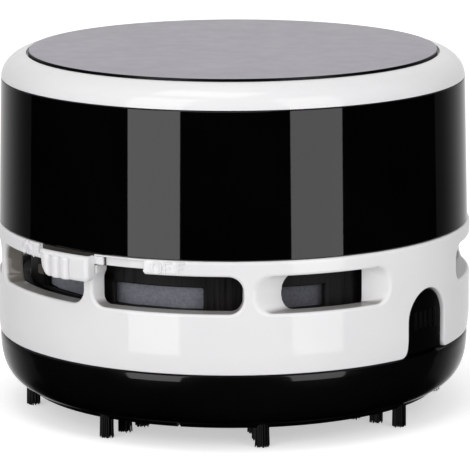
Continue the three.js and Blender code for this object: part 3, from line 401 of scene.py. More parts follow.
def slot_distance(angle, height, radius, outer, inner, corners):
    """Distance to one slot, whose ends lean from its outer span to its inner span."""
    depth = np.clip((VENT_RADIUS - radius) / VENT_WALL, -0.3, 1.2)
    start = outer[0] + (inner[0] - outer[0]) * depth
    end = outer[1] + (inner[1] - outer[1]) * depth
    across = turn(angle - (start + end) / 2) * ARC_DEGREE
    inner_share = np.clip(depth, 0, 1)
    left = SLOT_CORNER + (corners[0] - SLOT_CORNER) * inner_share
    right = SLOT_CORNER + (corners[1] - SLOT_CORNER) * inner_share
    corner = np.where(across < 0, left, right)
    middle = SLOT_TOP - SLOT_HEIGHT / 2
    corner = np.where(height < middle, corner * (1 + (LOW_CORNER - 1) * inner_share), corner)
    half_height = (SLOT_HEIGHT - SILL_RISE * inner_share) / 2
    halves = ((end - start) / 2 * ARC_DEGREE, half_height)
    return box_distance((across, height - SLOT_TOP + half_height), halves, corner)


def arch_distance(across, height, half_width, crown, flare):
    """Distance to a round-headed arch that widens at its foot."""
    spring = crown - half_width
    foot = np.clip((CUP_TOP + 2 * flare - height) / (2 * flare), 0, 1.3)
    straight = np.abs(across) - half_width - flare * foot**3
    head = np.hypot(across, height - spring) - half_width
    return np.where(height > spring, head, straight)


def vent_field(angle, height, radius):
    rise = np.clip((CUP_TOP + FOOT_RISE - height) / FOOT_RISE, 0, 1)
    shoulder = np.clip((height - VENT_TOP + SHOULDER_DROP) / SHOULDER_DROP, 0, 1)
    outer = VENT_RADIUS - FOOT_INSET * rise**2 - SHOULDER_INSET * shoulder**2
    inner = np.where(height > LEDGE_LEVEL, VENT_BORE, SKIRT_BORE)
    wall = smooth_max(radius - outer, height - VENT_TOP, SHOULDER_ROUNDING)
    wall = smooth_max(wall, CUP_TOP - height, FOOT_ROUNDING)
    wall = np.maximum(wall, inner - radius)
    spigot_outer = DRUM_BORE - SPIGOT_GAP
    spigot_middle = spigot_outer - VENT_SPIGOT_WALL / 2
    spigot_bottom = VENT_TOP - FLANGE
    rise_middle = (DECK_BOTTOM + spigot_bottom) / 2
    halves = (VENT_SPIGOT_WALL / 2, (DECK_BOTTOM - spigot_bottom) / 2)
    spigot = box_distance((radius - spigot_middle, height - rise_middle), halves, 0.2)
    shell = np.minimum(wall, spigot)
    for slot in SLOTS:
        half_turn = (angle + 180) % 360 - 360
        for place in (angle, half_turn):
            shell = smooth_max(shell, -slot_distance(place, height, radius, *slot), SLOT_ROUNDING)
    for centre in LATCH_ANGLES:
        across = turn(angle - centre) * ARC_DEGREE
        arch = arch_distance(across, height, ARCH_HALF_WIDTH, ARCH_CROWN, ARCH_FLARE)
        shell = smooth_max(shell, -arch, ARCH_ROUNDING)
    track = span_distance(angle, height, TRACK_ANGLES, TRACK_BOTTOM, VENT_TOP + 2, 0.2)
    track = np.maximum(track, VENT_RADIUS - TRACK_DEPTH - radius)
    shell = smooth_max(shell, -track, TRACK_ROUNDING)
    notch = span_distance(angle, height, (NOTCH_START, TRACK_ANGLES[1]), SLOT_TOP - 2, TRACK_BOTTOM, 0.6)
    notch = np.maximum(notch, VENT_BORE - 1 - radius)
    return smooth_max(shell, -notch, NOTCH_ROUNDING)


def build_vent_body():
    heights = (CUP_TOP - 0.5, DECK_BOTTOM + 0.5)
    radii = (DRUM_BORE - VENT_SPIGOT_WALL - 0.9, VENT_RADIUS + 0.6)
    ranges, steps = ((-180, 180), heights, radii), (0.32, 0.22, 0.22)
    shell = grown("vent_body", vent_field, ranges, steps, 0.14, wrap=True)
    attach(shell, "housing")
    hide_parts("vent_shell")
    return shell


# Words in relief beside the switch track

LETTER_HEIGHT = 1.9
LETTER_WIDTH = 1.65
LETTER_PITCH = 2.25
LETTER_STROKE = 0.17
LETTER_PROUD = 0.22
# Shares of the stroke's half width and of its height
LETTER_SECTION = ((-1, -0.1), (-1, 0.4), (-0.6, 1), (0.6, 1), (1, 0.4), (1, -0.1))
LETTERS = {
    "O": [[(0.5 + 0.5 * math.cos(a), 0.5 + 0.5 * math.sin(a)) for a in np.linspace(0, 2 * math.pi, 21)]],
    "N": [[(0, 0), (0, 1), (1, 0), (1, 1)]],
    "F": [[(0.75, 1), (0, 1), (0, 0)], [(0, 0.52), (0.62, 0.52)]],
}


def stroke(name, line):
    """A raised stroke through (angle, height) points on the body."""
    points = []
    flat = [np.array((angle * ARC_DEGREE, height)) for angle, height in line]
    for i, here in enumerate(flat):
        back = here - flat[i - 1] if i else flat[1] - here
        ahead = flat[i + 1] - here if i + 1 < len(flat) else back
        along = back / np.linalg.norm(back) + ahead / np.linalg.norm(ahead)
        along /= max(np.linalg.norm(along), 1e-6)
        side = np.array((-along[1], along[0]))
        miter = 1 / max(0.4, abs(np.dot(along, ahead / np.linalg.norm(ahead))))
        half = LETTER_STROKE * miter
        for share, proud in LETTER_SECTION:
            x, z = here + side * half * share
            points.append(polar(x / ARC_DEGREE, VENT_RADIUS + LETTER_PROUD * proud, z))
    made = make_object(name, points, tube_faces(0, len(LETTER_SECTION), len(flat)))
    with_bmesh(made, face_out)
    return made


def relief(name, word, centre):
    bottom = (SLOT_TOP + VENT_TOP - LETTER_HEIGHT) / 2
    strokes = []
    for i, letter in enumerate(word):
        start = centre + ((i - (len(word) - 1) / 2) * LETTER_PITCH - LETTER_WIDTH / 2) / ARC_DEGREE
        for line in LETTERS[letter]:
            flat = [(start + x * LETTER_WIDTH / ARC_DEGREE, bottom + y * LETTER_HEIGHT) for x, y in line]
            strokes.append(stroke(name, flat))
    made = joined(name, strokes)
    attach(made, "housing")
    return made


# Drum, cap and disc

BEZEL_ROUNDNESS = 1.85
BEZEL_STEPS = 22
RECESS_RADIUS = DISC_RADIUS + 0.41
CAP_FLOOR = 1.4
CAP_SKIRT_DEPTH = 3.6
CAP_SKIRT_WALL = 1.4
PIVOT_RADIUS = 2.6
PIVOT_BORE = 1.2


def build_drum():
    profile = [
        (DRUM_BORE, VENT_TOP),
        (DRUM_FOOT_RADIUS - 0.15, VENT_TOP + 0.02),
        (DRUM_FOOT_RADIUS, VENT_TOP + 0.2),
        (DRUM_HEAD_RADIUS, DRUM_TOP - 0.06),
        (DRUM_HEAD_RADIUS - 0.06, DRUM_TOP),
        (DRUM_BORE, DRUM_TOP),
    ]
    drum = lathe("drum", profile)
    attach(drum, "housing")
    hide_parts("drum_shell")
    return drum


def build_cap():
    cap_bottom = DRUM_TOP + SEAT_GAP
    underside = DISC_BOTTOM - CAP_FLOOR
    skirt_radius = DRUM_BORE - 0.4
    width = DRUM_HEAD_RADIUS - RECESS_RADIUS
    bezel = []
    for i in range(BEZEL_STEPS + 1):
        swing = i / BEZEL_STEPS * math.pi / 2
        across = max(0, math.cos(swing)) ** (2 / BEZEL_ROUNDNESS)
        up = math.sin(swing) ** (2 / BEZEL_ROUNDNESS)
        bezel.append((RECESS_RADIUS + width * across, cap_bottom + (CAP_TOP - cap_bottom) * up))
    profile = [
        (0, DISC_BOTTOM - SEAT_GAP),
        (PIVOT_BORE, DISC_BOTTOM - SEAT_GAP),
        (PIVOT_BORE, cap_bottom),
        (PIVOT_RADIUS, cap_bottom),
        (PIVOT_RADIUS, underside),
        (skirt_radius - CAP_SKIRT_WALL, underside),
        (skirt_radius - CAP_SKIRT_WALL, DRUM_TOP - CAP_SKIRT_DEPTH),
        (skirt_radius, DRUM_TOP - CAP_SKIRT_DEPTH),
        (skirt_radius, cap_bottom),
        *bezel,
        (RECESS_RADIUS, DISC_BOTTOM),
        (0, DISC_BOTTOM),
    ]
    cap = lathe("cap", profile)
    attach(cap, "lid")
    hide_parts("top_cap")
    return cap


def build_disc():
    edge = 0.14
    profile = [
        (0, DISC_BOTTOM),
        (DISC_RADIUS, DISC_BOTTOM),
        *arc((DISC_RADIUS - edge, DISC_TOP - edge), (edge, edge), 0, 90, 5),
        (DISC_RADIUS * 0.66, DISC_TOP),
        (DISC_RADIUS * 0.33, DISC_TOP),
        (0, DISC_TOP),
    ]
    disc = lathe("disc", profile)
    for face in disc.data.polygons:
        face.material_index = int(face.center.z < (DISC_TOP - 0.1 * edge) * MM)
    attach(disc, "lid")
    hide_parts("top_disc")
    return disc


# Dust cup

CORNER_WIDTH = 10
CORNER_DROP = CUP_TOP - CUP_BOTTOM
CORNER_POWER = 2.8
CORNER_STEPS = 20
GROOVE_OUTER = BODY_RADIUS - 3.6
GROOVE_INNER = GROOVE_OUTER - 13.9
GROOVE_TOP = CUP_BOTTOM + 2.3
FLOOR_TOP = GROOVE_TOP + 1.6
INLET_RADIUS = 9.2
CHIMNEY_WALL = 1.6
TAB_DEPTH = 0.65
TAB_THICKNESS = 1.3
TAB_INNER = VENT_RADIUS - TAB_DEPTH - TAB_THICKNESS


def corner_level(radius):
    across = min(1, max(0, (radius - BODY_RADIUS + CORNER_WIDTH) / CORNER_WIDTH))
    return max(CUP_BOTTOM, CUP_TOP - CORNER_DROP * (1 - across**CORNER_POWER) ** (1 / CORNER_POWER))


def bar(angle, half_width, inner, outer, bottom, top):
    """A plain bar at an angle, for cutting."""
    made = add_object("bar", bpy.data.meshes.new("bar"))

    def shape(bm):
        bmesh.ops.create_cube(bm, size=MM)
        scale = Matrix.Diagonal((2 * half_width, outer - inner, top - bottom, 1))
        place = Matrix.Translation(Vector((0, -(inner + outer) / 2, (bottom + top) / 2)) * MM)
        swing = Matrix.Rotation(math.radians(angle), 4, "Z")
        bmesh.ops.transform(bm, matrix=swing @ place @ scale, verts=bm.verts)

    with_bmesh(made, shape)
    return made


def build_cup():
    rim = CUP_TOP - SEAT_GAP
    spigot_radius = SKIRT_BORE - SPIGOT_GAP
    spigot_bore = spigot_radius - SPIGOT_WALL
    chimney_radius = INLET_RADIUS + CHIMNEY_WALL
    chimney_top = filter_low[2] - 3.8
    lip, chamfer, mouth, fillet, foot = 0.8, 0.3, 1.1, 1.2, 1
    corner = []
    for i in range(CORNER_STEPS):
        share = math.sin(i / CORNER_STEPS * math.pi / 2)
        radius = GROOVE_OUTER + (BODY_RADIUS - GROOVE_OUTER) * share
        corner.append((radius, corner_level(radius)))
    profile = [
        *arc((INLET_RADIUS + mouth, CUP_BOTTOM + mouth), (mouth, mouth), 180, 270, 6),
        (GROOVE_INNER - chamfer, CUP_BOTTOM),
        (GROOVE_INNER, CUP_BOTTOM + chamfer),
        (GROOVE_INNER, GROOVE_TOP),
        (GROOVE_OUTER, GROOVE_TOP),
        *corner,
        (BODY_RADIUS, rim - 0.25),
        (BODY_RADIUS - 0.08, rim - 0.07),
        (BODY_RADIUS - 0.25, rim),
        (spigot_radius, rim),
        (spigot_radius, SPIGOT_TOP - chamfer),
        (spigot_radius - chamfer, SPIGOT_TOP),
        (spigot_bore + 0.2, SPIGOT_TOP),
        (spigot_bore, SPIGOT_TOP - 0.2),
        (spigot_bore, FLOOR_TOP + fillet),
        *arc((spigot_bore - fillet, FLOOR_TOP + fillet), (fillet, fillet), 0, -90, 6)[1:],
        *arc((chimney_radius + foot, FLOOR_TOP + foot), (foot, foot), 270, 180, 6),
        (chimney_radius, chimney_top - lip),
        (chimney_radius + lip * 0.7, chimney_top - lip * 0.3),
        (chimney_radius + lip, chimney_top),
        (INLET_RADIUS + lip, chimney_top),
        (INLET_RADIUS, chimney_top - 2 * lip),
    ]
    cup = lathe("cup", profile)
    half, inner, outer = ARCH_HALF_WIDTH + 0.35, TAB_INNER - 1.15, VENT_RADIUS + 4
    cut_out(cup, [bar(angle, half, inner, outer, rim, SPIGOT_TOP + 4) for angle in LATCH_ANGLES])
    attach(cup, "cup")
    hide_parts("dust_cup")
    return cup


# Latch tabs

TAB_GAP = 0.2
TAB_RIBS = 5
TAB_RIB_PITCH = 1.4
TAB_RIB_RADIUS = 0.42
TAB_RIB_LIFT = 4.1
TAB_RIB_DROP = 3.7


def tab_field(across, height, depth):
    foot = CUP_TOP + SEAT_GAP + 0.15
    half_width = ARCH_HALF_WIDTH - TAB_GAP
    crown = ARCH_CROWN - TAB_GAP
    outline = np.maximum(arch_distance(across, height, half_width, crown, 0), foot - height)
    bow = depth + across**2 / (2 * VENT_RADIUS)
    plate = smooth_max(outline, np.abs(bow - TAB_THICKNESS / 2) - TAB_THICKNESS / 2, 0.3)
    bottom, top = foot + TAB_RIB_LIFT, crown - TAB_RIB_DROP
    upright = np.abs(height - (bottom + top) / 2) - (top - bottom) / 2
    for i in range(TAB_RIBS):
        side = across - (i - (TAB_RIBS - 1) / 2) * TAB_RIB_PITCH
        rib = smooth_max(np.hypot(side, bow - TAB_THICKNESS + 0.16) - TAB_RIB_RADIUS, upright, 0.4)
        plate = smooth_min(plate, rib, 0.15)
    return plate


def build_tab(side, angle):
    matrix = np.array(Matrix.Rotation(math.radians(angle), 3, "Z"))

    def to_space(across, height, depth):
        return np.stack((across, -(TAB_INNER + depth), height), -1) @ matrix.T

    def from_space(places):
        x, y, z = (places @ matrix).T
        return x, z, -y - TAB_INNER

    reach = ARCH_HALF_WIDTH + 0.3
    ranges = ((-reach, reach), (CUP_TOP, ARCH_CROWN + 0.2), (-0.9, TAB_THICKNESS + 0.9))
    tab = grown(f"latch_{side}_tab", tab_field, ranges, (0.14, 0.14, 0.14), 0.4, to_space, from_space)
    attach(tab, f"latch_{side}")
    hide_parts(f"latch_tab_{side}")
    return tab


# Switch knob

GRIP_ANGLES = (-52.3, -33.9)
GRIP_RAMP = 4.2
GRIP_LEAN = 1.1
GRIP_BOTTOM = VENT_TOP - 4.65
GRIP_TOP = VENT_TOP - 0.15
GRIP_PROUD = 2.35
GRIP_RADIUS = VENT_RADIUS + GRIP_PROUD
GRIP_BAND = 0.8
GRIP_LOW_CORNERS = (1.7, 1.0)
GRIP_HIGH_CORNER = 0.4
PLATE_THICKNESS = 1.15
POCKET_BOTTOM = VENT_TOP - 2
TONGUE_ANGLES = (-34.7, -31.7)
TONGUE_CORNER = 0.12
RIB_ANGLES = (-46.4, -43.35, -40.6)
RIB_RADIUS = 1.1
RIB_PROUD = 0.3
RIB_SINK = 0.5
PAD_START = -39.1
STEM_ANGLES = (-52.1, -50.2)
STEM_TOP = VENT_TOP - 3.5
STEM_HEIGHT = 1.6
TRACK_LIP = 0.27
TRACK_LIP_DEPTH = 0.4


def grip_outline(angle, height, radius):
    """Distance to the grip's outline, whose ribbed end slants outwards."""
    start = GRIP_ANGLES[0] + GRIP_RAMP * np.clip((radius - VENT_RADIUS) / GRIP_PROUD, 0, 1.2)
    start = start + GRIP_LEAN * (GRIP_TOP - height) / (GRIP_TOP - GRIP_BOTTOM)
    middle = (start + GRIP_ANGLES[1]) / 2
    across = (angle - middle) * ARC_DEGREE
    centre = (GRIP_BOTTOM + GRIP_TOP) / 2
    low_corner = np.where(across < 0, *GRIP_LOW_CORNERS)
    corner = np.where(height < centre, low_corner, GRIP_HIGH_CORNER)
    halves = ((GRIP_ANGLES[1] - start) / 2 * ARC_DEGREE, (GRIP_TOP - GRIP_BOTTOM) / 2)
    return box_distance((across, height - centre), halves, corner)


def knob_field(angle, height, radius):
    outline = grip_outline(angle, height, radius)
    grip = smooth_max(outline, radius - GRIP_RADIUS, 0.85)
    band = GRIP_TOP - GRIP_BAND
    sunk = np.maximum((angle - PAD_START) * ARC_DEGREE, height - band)
    sunk = np.maximum(sunk, GRIP_RADIUS - RIB_SINK - radius)
    grip = smooth_max(grip, -sunk, 0.3)
    for rib_angle in RIB_ANGLES:
        side = (angle - rib_angle) * ARC_DEGREE
        rib = np.hypot(side, radius - GRIP_RADIUS - RIB_PROUD + RIB_RADIUS) - RIB_RADIUS
        rib = smooth_max(smooth_max(rib, height - band - 0.15, 0.5), outline, 0.5)
        grip = smooth_min(grip, rib, 0.12)
    grip = np.maximum(grip, VENT_RADIUS + 0.15 - radius)
    pocket = np.maximum(POCKET_BOTTOM - height, radius - GRIP_RADIUS + PLATE_THICKNESS)
    pocket = np.maximum(pocket, (angle - TONGUE_ANGLES[0]) * ARC_DEGREE)
    grip = smooth_max(grip, -pocket, 0.25)
    tongue_bottom = TRACK_BOTTOM + 0.16
    tongue_top = VENT_TOP - TRACK_LIP - 0.05
    tongue = span_distance(angle, height, TONGUE_ANGLES, tongue_bottom, tongue_top, TONGUE_CORNER)
    tongue_back = VENT_RADIUS - TRACK_DEPTH + SEAT_GAP
    sheet = np.abs(radius - (VENT_RADIUS + tongue_back) / 2) - (VENT_RADIUS - tongue_back) / 2
    tongue = smooth_max(tongue, sheet, TONGUE_CORNER)
    web_angles = (TONGUE_ANGLES[0], GRIP_ANGLES[1])
    web = span_distance(angle, height, web_angles, tongue_bottom, tongue_top, TONGUE_CORNER)
    web = np.maximum(web, np.abs(radius - VENT_RADIUS - 0.2) - 0.5)
    return np.minimum(np.minimum(grip, tongue), web)


def build_knob():
    heights = (GRIP_BOTTOM - 0.6, GRIP_TOP + 0.4)
    ranges = ((-54.2, TONGUE_ANGLES[1] + 0.6), heights, (VENT_RADIUS - TRACK_DEPTH, GRIP_RADIUS + 0.8))
    knob = grown("knob", knob_field, ranges, (0.15, 0.11, 0.11), 0.4)
    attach(knob, "switch")
    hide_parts("switch_knob")
    return knob


def build_shade_carrier():
    """The plate that carries the grip along its track, dark as painted shade: it shows as the shadow over the
    grip and round the tongue.
    """
    back = VENT_RADIUS - TRACK_DEPTH + 0.07
    radii = (back, VENT_RADIUS - TRACK_LIP_DEPTH - 0.05)
    angles = (GRIP_ANGLES[0] + 0.3, TONGUE_ANGLES[1] + 0.27)
    plate = curved_plate("plate", angles, radii, (TRACK_BOTTOM + 0.06, VENT_TOP - 0.04), 0.03)
    stem_levels = (STEM_TOP - STEM_HEIGHT, STEM_TOP)
    stem = curved_plate("stem", STEM_ANGLES, (VENT_BORE - 0.2, VENT_RADIUS + 0.5), stem_levels, 0.1)
    carrier = joined("knob_shade_carrier", [plate, stem])
    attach(carrier, "switch")
    return carrier


def build_track_lip():
    """The thin edge over the part of the track that the knob's tongue slides along."""
    angles = (GRIP_ANGLES[1] - 0.3, TRACK_ANGLES[1] + 0.5)
    radii = (VENT_RADIUS - TRACK_LIP_DEPTH, VENT_RADIUS)
    lip = curved_plate("track_lip", angles, radii, (VENT_TOP - TRACK_LIP, VENT_TOP - 0.02), 0.08)
    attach(lip, "housing")
    return lip


# Fan housing, seen through the slots

FAN_WALL = 1.3
CEILING = (VENT_TOP - 0.9, VENT_TOP + 0.7)
DECK_LEVEL = VENT_TOP + 3
WALL_BOTTOM = plate_high[2]
WINDOW_ENDS = [(-66.4, -44), (-34.2, -8.2), (3, 25), (40, 62), (76, 100)]
WINDOW_SILL = WALL_BOTTOM + 0.5
WINDOW_TOP = WINDOW_SILL + 3.8
POST_RADIUS = 2.2
POST_ANGLES = (45, 165, 285)
BOSS_RADIUS = 2.6
BOSS_ANGLES = (0, 90, 180, 270)
POST_CIRCLE = FAN_WALL_RADIUS - FAN_WALL - 4.2
SCREW_BORE = 1.1
SHAFT_HOLE = 3.6


def fan_field(angle, height, radius):
    wall_middle = FAN_WALL_RADIUS - FAN_WALL / 2
    wall_height = (CEILING[1] - WALL_BOTTOM) / 2
    offsets = (radius - wall_middle, height - WALL_BOTTOM - wall_height)
    shell = box_distance(offsets, (FAN_WALL / 2, wall_height), 0.2)
    scale = math.radians(1) * FAN_WALL_RADIUS
    window_middle = (WINDOW_SILL + WINDOW_TOP) / 2
    for start, end in WINDOW_ENDS:
        halves = (scale * (end - start) / 2, (WINDOW_TOP - WINDOW_SILL) / 2)
        for middle in ((start + end) / 2, (start + end) / 2 + 180):
            opening = box_distance((turn(angle - middle) * scale, height - window_middle), halves, 0.15)
            shell = smooth_max(shell, -opening, 0.2)
    ceiling_middle = (CEILING[0] + CEILING[1]) / 2
    disc_middle = (SHAFT_HOLE + wall_middle) / 2
    halves = (disc_middle - SHAFT_HOLE, (CEILING[1] - CEILING[0]) / 2)
    ceiling = box_distance((radius - disc_middle, height - ceiling_middle), halves, 0.15)
    shell = smooth_min(shell, ceiling, 0.5)
    x, y = radius * np.sin(np.radians(angle)), -radius * np.cos(np.radians(angle))

    def upright(place, size, bottom, top):
        px, py = polar(place, POST_CIRCLE)[:2]
        apart = np.hypot(x - px, y - py)
        return smooth_max(apart - size, np.abs(height - (bottom + top) / 2) - (top - bottom) / 2, 0.2)

    for place in POST_ANGLES:
        shell = smooth_min(shell, upright(place, POST_RADIUS, WALL_BOTTOM, CEILING[1]), 0.3)
        shell = smooth_max(shell, -upright(place, SCREW_BORE, WALL_BOTTOM - 1, CEILING[0] - 2), 0.15)
    for place in BOSS_ANGLES:
        shell = smooth_min(shell, upright(place, BOSS_RADIUS, CEILING[0], DECK_LEVEL), 0.3)
        shell = smooth_max(shell, -upright(place, SCREW_BORE, CEILING[0] - 1, DECK_LEVEL + 1), 0.15)
    return shell


def build_fan_housing():
    heights = (WALL_BOTTOM - 0.4, DECK_LEVEL + 0.4)
    ranges = ((-180, 180), heights, (SHAFT_HOLE - 0.6, FAN_WALL_RADIUS + 0.4))
    steps = (0.6, 0.3, 0.3)
    housing = grown("fan_wall", fan_field, ranges, steps, 0.1, wrap=True)
    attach(housing, "housing")
    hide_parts("fan_housing")
    return housing


# Brush ring

BRUSH_COUNT = 4
BRUSH_FIRST_ANGLE = 30.1
BRUSH_SPLIT_ANGLE = 0.8
BRUSH_CORNER = 1.4
BRUSH_FIT = 0.3
BACKING_STEPS = 48
ROW_ANGLES = (-22.5, 22.5)
TUFT_INSET = 1.7
TUFTS_IN_ROW = 3
TUFT_RADIUS = 1.14
STRANDS = 46
STRAND_RADIUS = 0.15
STRAND_SPLAY = 1.1
STRAND_SIDES = 5
STRAND_LEVELS = 4
STRAND_ROOT = 0.6


def brush_backing(points, faces, centre):
    """The curved plate that holds the tufts of one sector."""
    inner, outer, top = GROOVE_INNER + BRUSH_FIT, GROOVE_OUTER - BRUSH_FIT, GROOVE_TOP - BRUSH_FIT
    mid = outer - BRUSH_CORNER / 2
    profile = [
        (inner, CUP_BOTTOM + 0.25), (inner + 0.25, CUP_BOTTOM), (outer - BRUSH_CORNER, CUP_BOTTOM),
        (mid, corner_level(mid)), (outer, corner_level(outer)), (outer, top), (inner, top),
    ]
    half = 180 / BRUSH_COUNT - BRUSH_SPLIT_ANGLE / 2
    faces += tube_faces(len(points), len(profile), BACKING_STEPS + 1)
    for i in range(BACKING_STEPS + 1):
        angle = centre - half + 2 * half * i / BACKING_STEPS
        points += [polar(angle, radius, height) for radius, height in profile]


def strand(points, faces, root, tip, lean, radius):
    """One bristle from its root to its tip, tapered and slightly bent."""
    faces += tube_faces(len(points), STRAND_SIDES, STRAND_LEVELS + 1)
    for i in range(STRAND_LEVELS + 1):
        share = i / STRAND_LEVELS
        centre = root + (tip - root) * share + lean * share**2
        width = radius * (1 - 0.25 * share)
        for j in range(STRAND_SIDES):
            swing = 2 * math.pi * j / STRAND_SIDES
            points.append(centre + width * np.array((math.cos(swing), math.sin(swing), 0)))


def tuft(points, faces, centre, draw):
    """A round bundle of bristles with ragged ends."""
    turn_step = math.pi * (3 - math.sqrt(5))
    reach = np.hypot(*centre[:2]) + TUFT_RADIUS
    root_level = corner_level(reach) + STRAND_ROOT
    for i in range(STRANDS):
        away = TUFT_RADIUS * math.sqrt((i + 0.5) / STRANDS)
        swing = i * turn_step
        offset = away * np.array((math.cos(swing), math.sin(swing), 0))
        jitter = np.append(draw.normal(0, 0.05, 2), 0)
        root = centre + offset + (0, 0, root_level)
        tip = centre + offset * STRAND_SPLAY + jitter + (0, 0, abs(draw.normal(0, 0.16)))
        lean = np.append(draw.normal(0, 0.04, 2), 0)
        strand(points, faces, root, tip, lean, STRAND_RADIUS * draw.uniform(0.9, 1.15))


def build_brush(number, centre):
    draw = np.random.default_rng(40 + number)
    points, faces = [], []
    brush_backing(points, faces, centre)
    outer, inner = GROOVE_OUTER - BRUSH_FIT - TUFT_INSET, GROOVE_INNER + BRUSH_FIT + TUFT_INSET
    for row in ROW_ANGLES:
        for i in range(TUFTS_IN_ROW):
            radius = outer - (outer - inner) * i / (TUFTS_IN_ROW - 1)
            tuft(points, faces, polar(centre + row, radius), draw)
    brush = make_object(f"brush_{number}", points, faces)
    with_bmesh(brush, face_out)
    sharpen(brush)
    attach(brush, "cup")
    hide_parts(f"brush_sector_{number}")
    return brush


# Inner pieces: the frame's own shapes, welded, with softened edges


def refined(node, body, bevel):
    """A copy of a frame node with rounded edges and smooth sides, which stands for the node."""
    made = add_object(f"{node}_fine", frame["nodes"][node].data.copy())

    def weld(bm):
        bmesh.ops.remove_doubles(bm, verts=bm.verts, dist=2e-6)
        bmesh.ops.dissolve_limit(bm, angle_limit=math.radians(1), verts=bm.verts, edges=bm.edges)

    with_bmesh(made, weld)
    normals = made.data.attributes.get("custom_normal")
    if normals:
        made.data.attributes.remove(normals)
    if bevel:
        rounding = made.modifiers.new("round", "BEVEL")
        rounding.width = bevel * MM
        rounding.segments = 2
        rounding.limit_method = "ANGLE"
        rounding.angle_limit = math.radians(35)
        apply_modifiers(made)
    sharpen(made)
    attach(made, body)
    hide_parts(node)
    return made


# Node trees of the materials and the world

# The part of its range that a noise mostly keeps to
NOISE_RANGE = (0.3, 0.7)


class Tree:
    """The nodes of a material or a world, each added together with its inputs."""

    def __init__(self, owner):
        owner.use_nodes = True
        self.nodes, self.links = owner.node_tree.nodes, owner.node_tree.links

    def put(self, socket, value):
        """Links a socket to another one, or sets its value."""
        if isinstance(value, bpy.types.NodeSocket):
            self.links.new(value, socket)
        else:
            socket.default_value = value

    def add(self, kind, inputs=(), output=0, **settings):
        """Adds a node and returns one of its outputs."""
        node = self.nodes.new("ShaderNode" + kind)
        for name, value in settings.items():
            setattr(node, name, value)
        for name, value in dict(inputs).items():
            self.put(node.inputs[name], value)
        return node.outputs[output]

    def calc(self, kind, *values):
        return self.add("Math", enumerate(values), operation=kind)

    def product(self, first, *others):
        for other in others:
            first = self.calc("MULTIPLY", first, other)
        return first

    def part(self, vector, axis):
        return self.add("SeparateXYZ", {0: vector}, axis)

    def path(self, kind):
        return self.add("LightPath", output=f"Is {kind} Ray")

    def spread(self, value, start, end, low=0, high=1, way="LINEAR"):
        """The value from start to end spread from low to high."""
        inputs = {"Value": value, "From Min": start, "From Max": end, "To Min": low, "To Max": high}
        return self.add("MapRange", inputs, "Result", interpolation_type=way)

    def step(self, value, start, end):
        return self.spread(value, start, end, way="SMOOTHSTEP")


class Surface(Tree):
    """A material whose detail follows the object's own coordinates."""

    def __init__(self, name):
        self.material = bpy.data.materials.new(name)
        super().__init__(self.material)
        self.shader = self.nodes["Principled BSDF"]
        self.place = self.add("TexCoord", output="Object")

    def shade(self, inputs):
        for name, value in inputs.items():
            self.put(self.shader.inputs[name], value)

    def noise(self, scale, detail=2.0, place=None):
        """Noise at features per metre."""
        return self.add("TexNoise", {"Scale": scale, "Detail": detail, "Vector": place or self.place}, "Fac")

    def tint(self, noise, dark, light):
        """A colour between two others by a noise."""
        ramp = self.nodes.new("ShaderNodeValToRGB")
        for element, position, colour in zip(ramp.color_ramp.elements, NOISE_RANGE, (dark, light)):
            element.position = position
            element.color = rgba(colour)
        self.put(ramp.inputs["Fac"], noise)
        return ramp.outputs["Color"]

    def vary(self, noise, value, lowest, highest):
        """A value that changes by a noise between two shares of itself."""
        return self.spread(noise, *NOISE_RANGE, value * lowest, value * highest)

    def bump(self, noise, depth):
        return self.add("Bump", {"Distance": depth, "Height": noise}, "Normal")

    def towards(self, angle):
        """The distance from the axis along the direction at an angle."""
        direction = (*polar(angle, 1.0)[:2], 0)
        return self.add("VectorMath", {0: self.place, 1: direction}, "Value", operation="DOT_PRODUCT")

    def tone(self, share, colour, way="MIX"):
        """Blends another colour into the base colour."""
        base = self.shader.inputs["Base Color"]
        inputs = {"Factor": share, "A": base.links[0].from_socket, "B": rgba(colour)}
        self.put(base, self.add("Mix", inputs, "Result", data_type="RGBA", blend_type=way))


# Materials

TONE_SCALE = 60
GLOSS_SCALE = 300
COAT_ROUGHNESS = 0.06


def rgba(colour):
    """The numbers of a colour, or of a grey given by one number, with full opacity."""
    return (*np.broadcast_to(colour, 3).tolist(), 1)


def plastic(name, dark, light, roughness, grain=2500, depth=0.00001, ior=1.5, coat=0.0):
    """Moulded plastic: a slight change of tone over the piece and a fine grain."""
    surface = Surface(name)
    surface.shade({
        "Base Color": surface.tint(surface.noise(TONE_SCALE), dark, light),
        "Roughness": surface.vary(surface.noise(GLOSS_SCALE), roughness, 0.9, 1.1),
        "Normal": surface.bump(surface.noise(grain), depth),
        "IOR": ior,
        "Coat Weight": coat,
        "Coat Roughness": COAT_ROUGHNESS,
    })
    return surface


def metal(name, dark, light, roughness, grain=2500, depth=0.00002):
    surface = Surface(name)
    surface.shade({
        "Base Color": surface.tint(surface.noise(grain), dark, light),
        "Roughness": surface.vary(surface.noise(grain / 3), roughness, 0.8, 1.25),
        "Normal": surface.bump(surface.noise(grain), depth),
        "Metallic": 1,
    })
    return surface


def cloth(name, dark, light, weave=1800, fuzz=3000, depth=0.00015):
    surface = Surface(name)
    surface.shade({
        "Base Color": surface.tint(surface.noise(weave, 4), dark, light),
        "Roughness": 0.9,
        "Normal": surface.bump(surface.noise(fuzz, 3), depth),
    })
    return surface


def streaked(name, dark, light, roughness, ior, scale=1600, stretch=0.04, depth=0.00004):
    """Black plastic with fine upright streaks, as a mould leaves on a thin wall."""
    surface = Surface(name)
    flat = surface.add("Mapping", {"Scale": (1, 1, stretch), "Vector": surface.place})
    lines = surface.noise(scale, 3, flat)
    surface.shade({
        "Base Color": surface.tint(lines, dark, light),
        "Roughness": surface.vary(lines, roughness, 0.8, 1.2),
        "Normal": surface.bump(lines, depth),
        "IOR": ior,
    })
    return surface
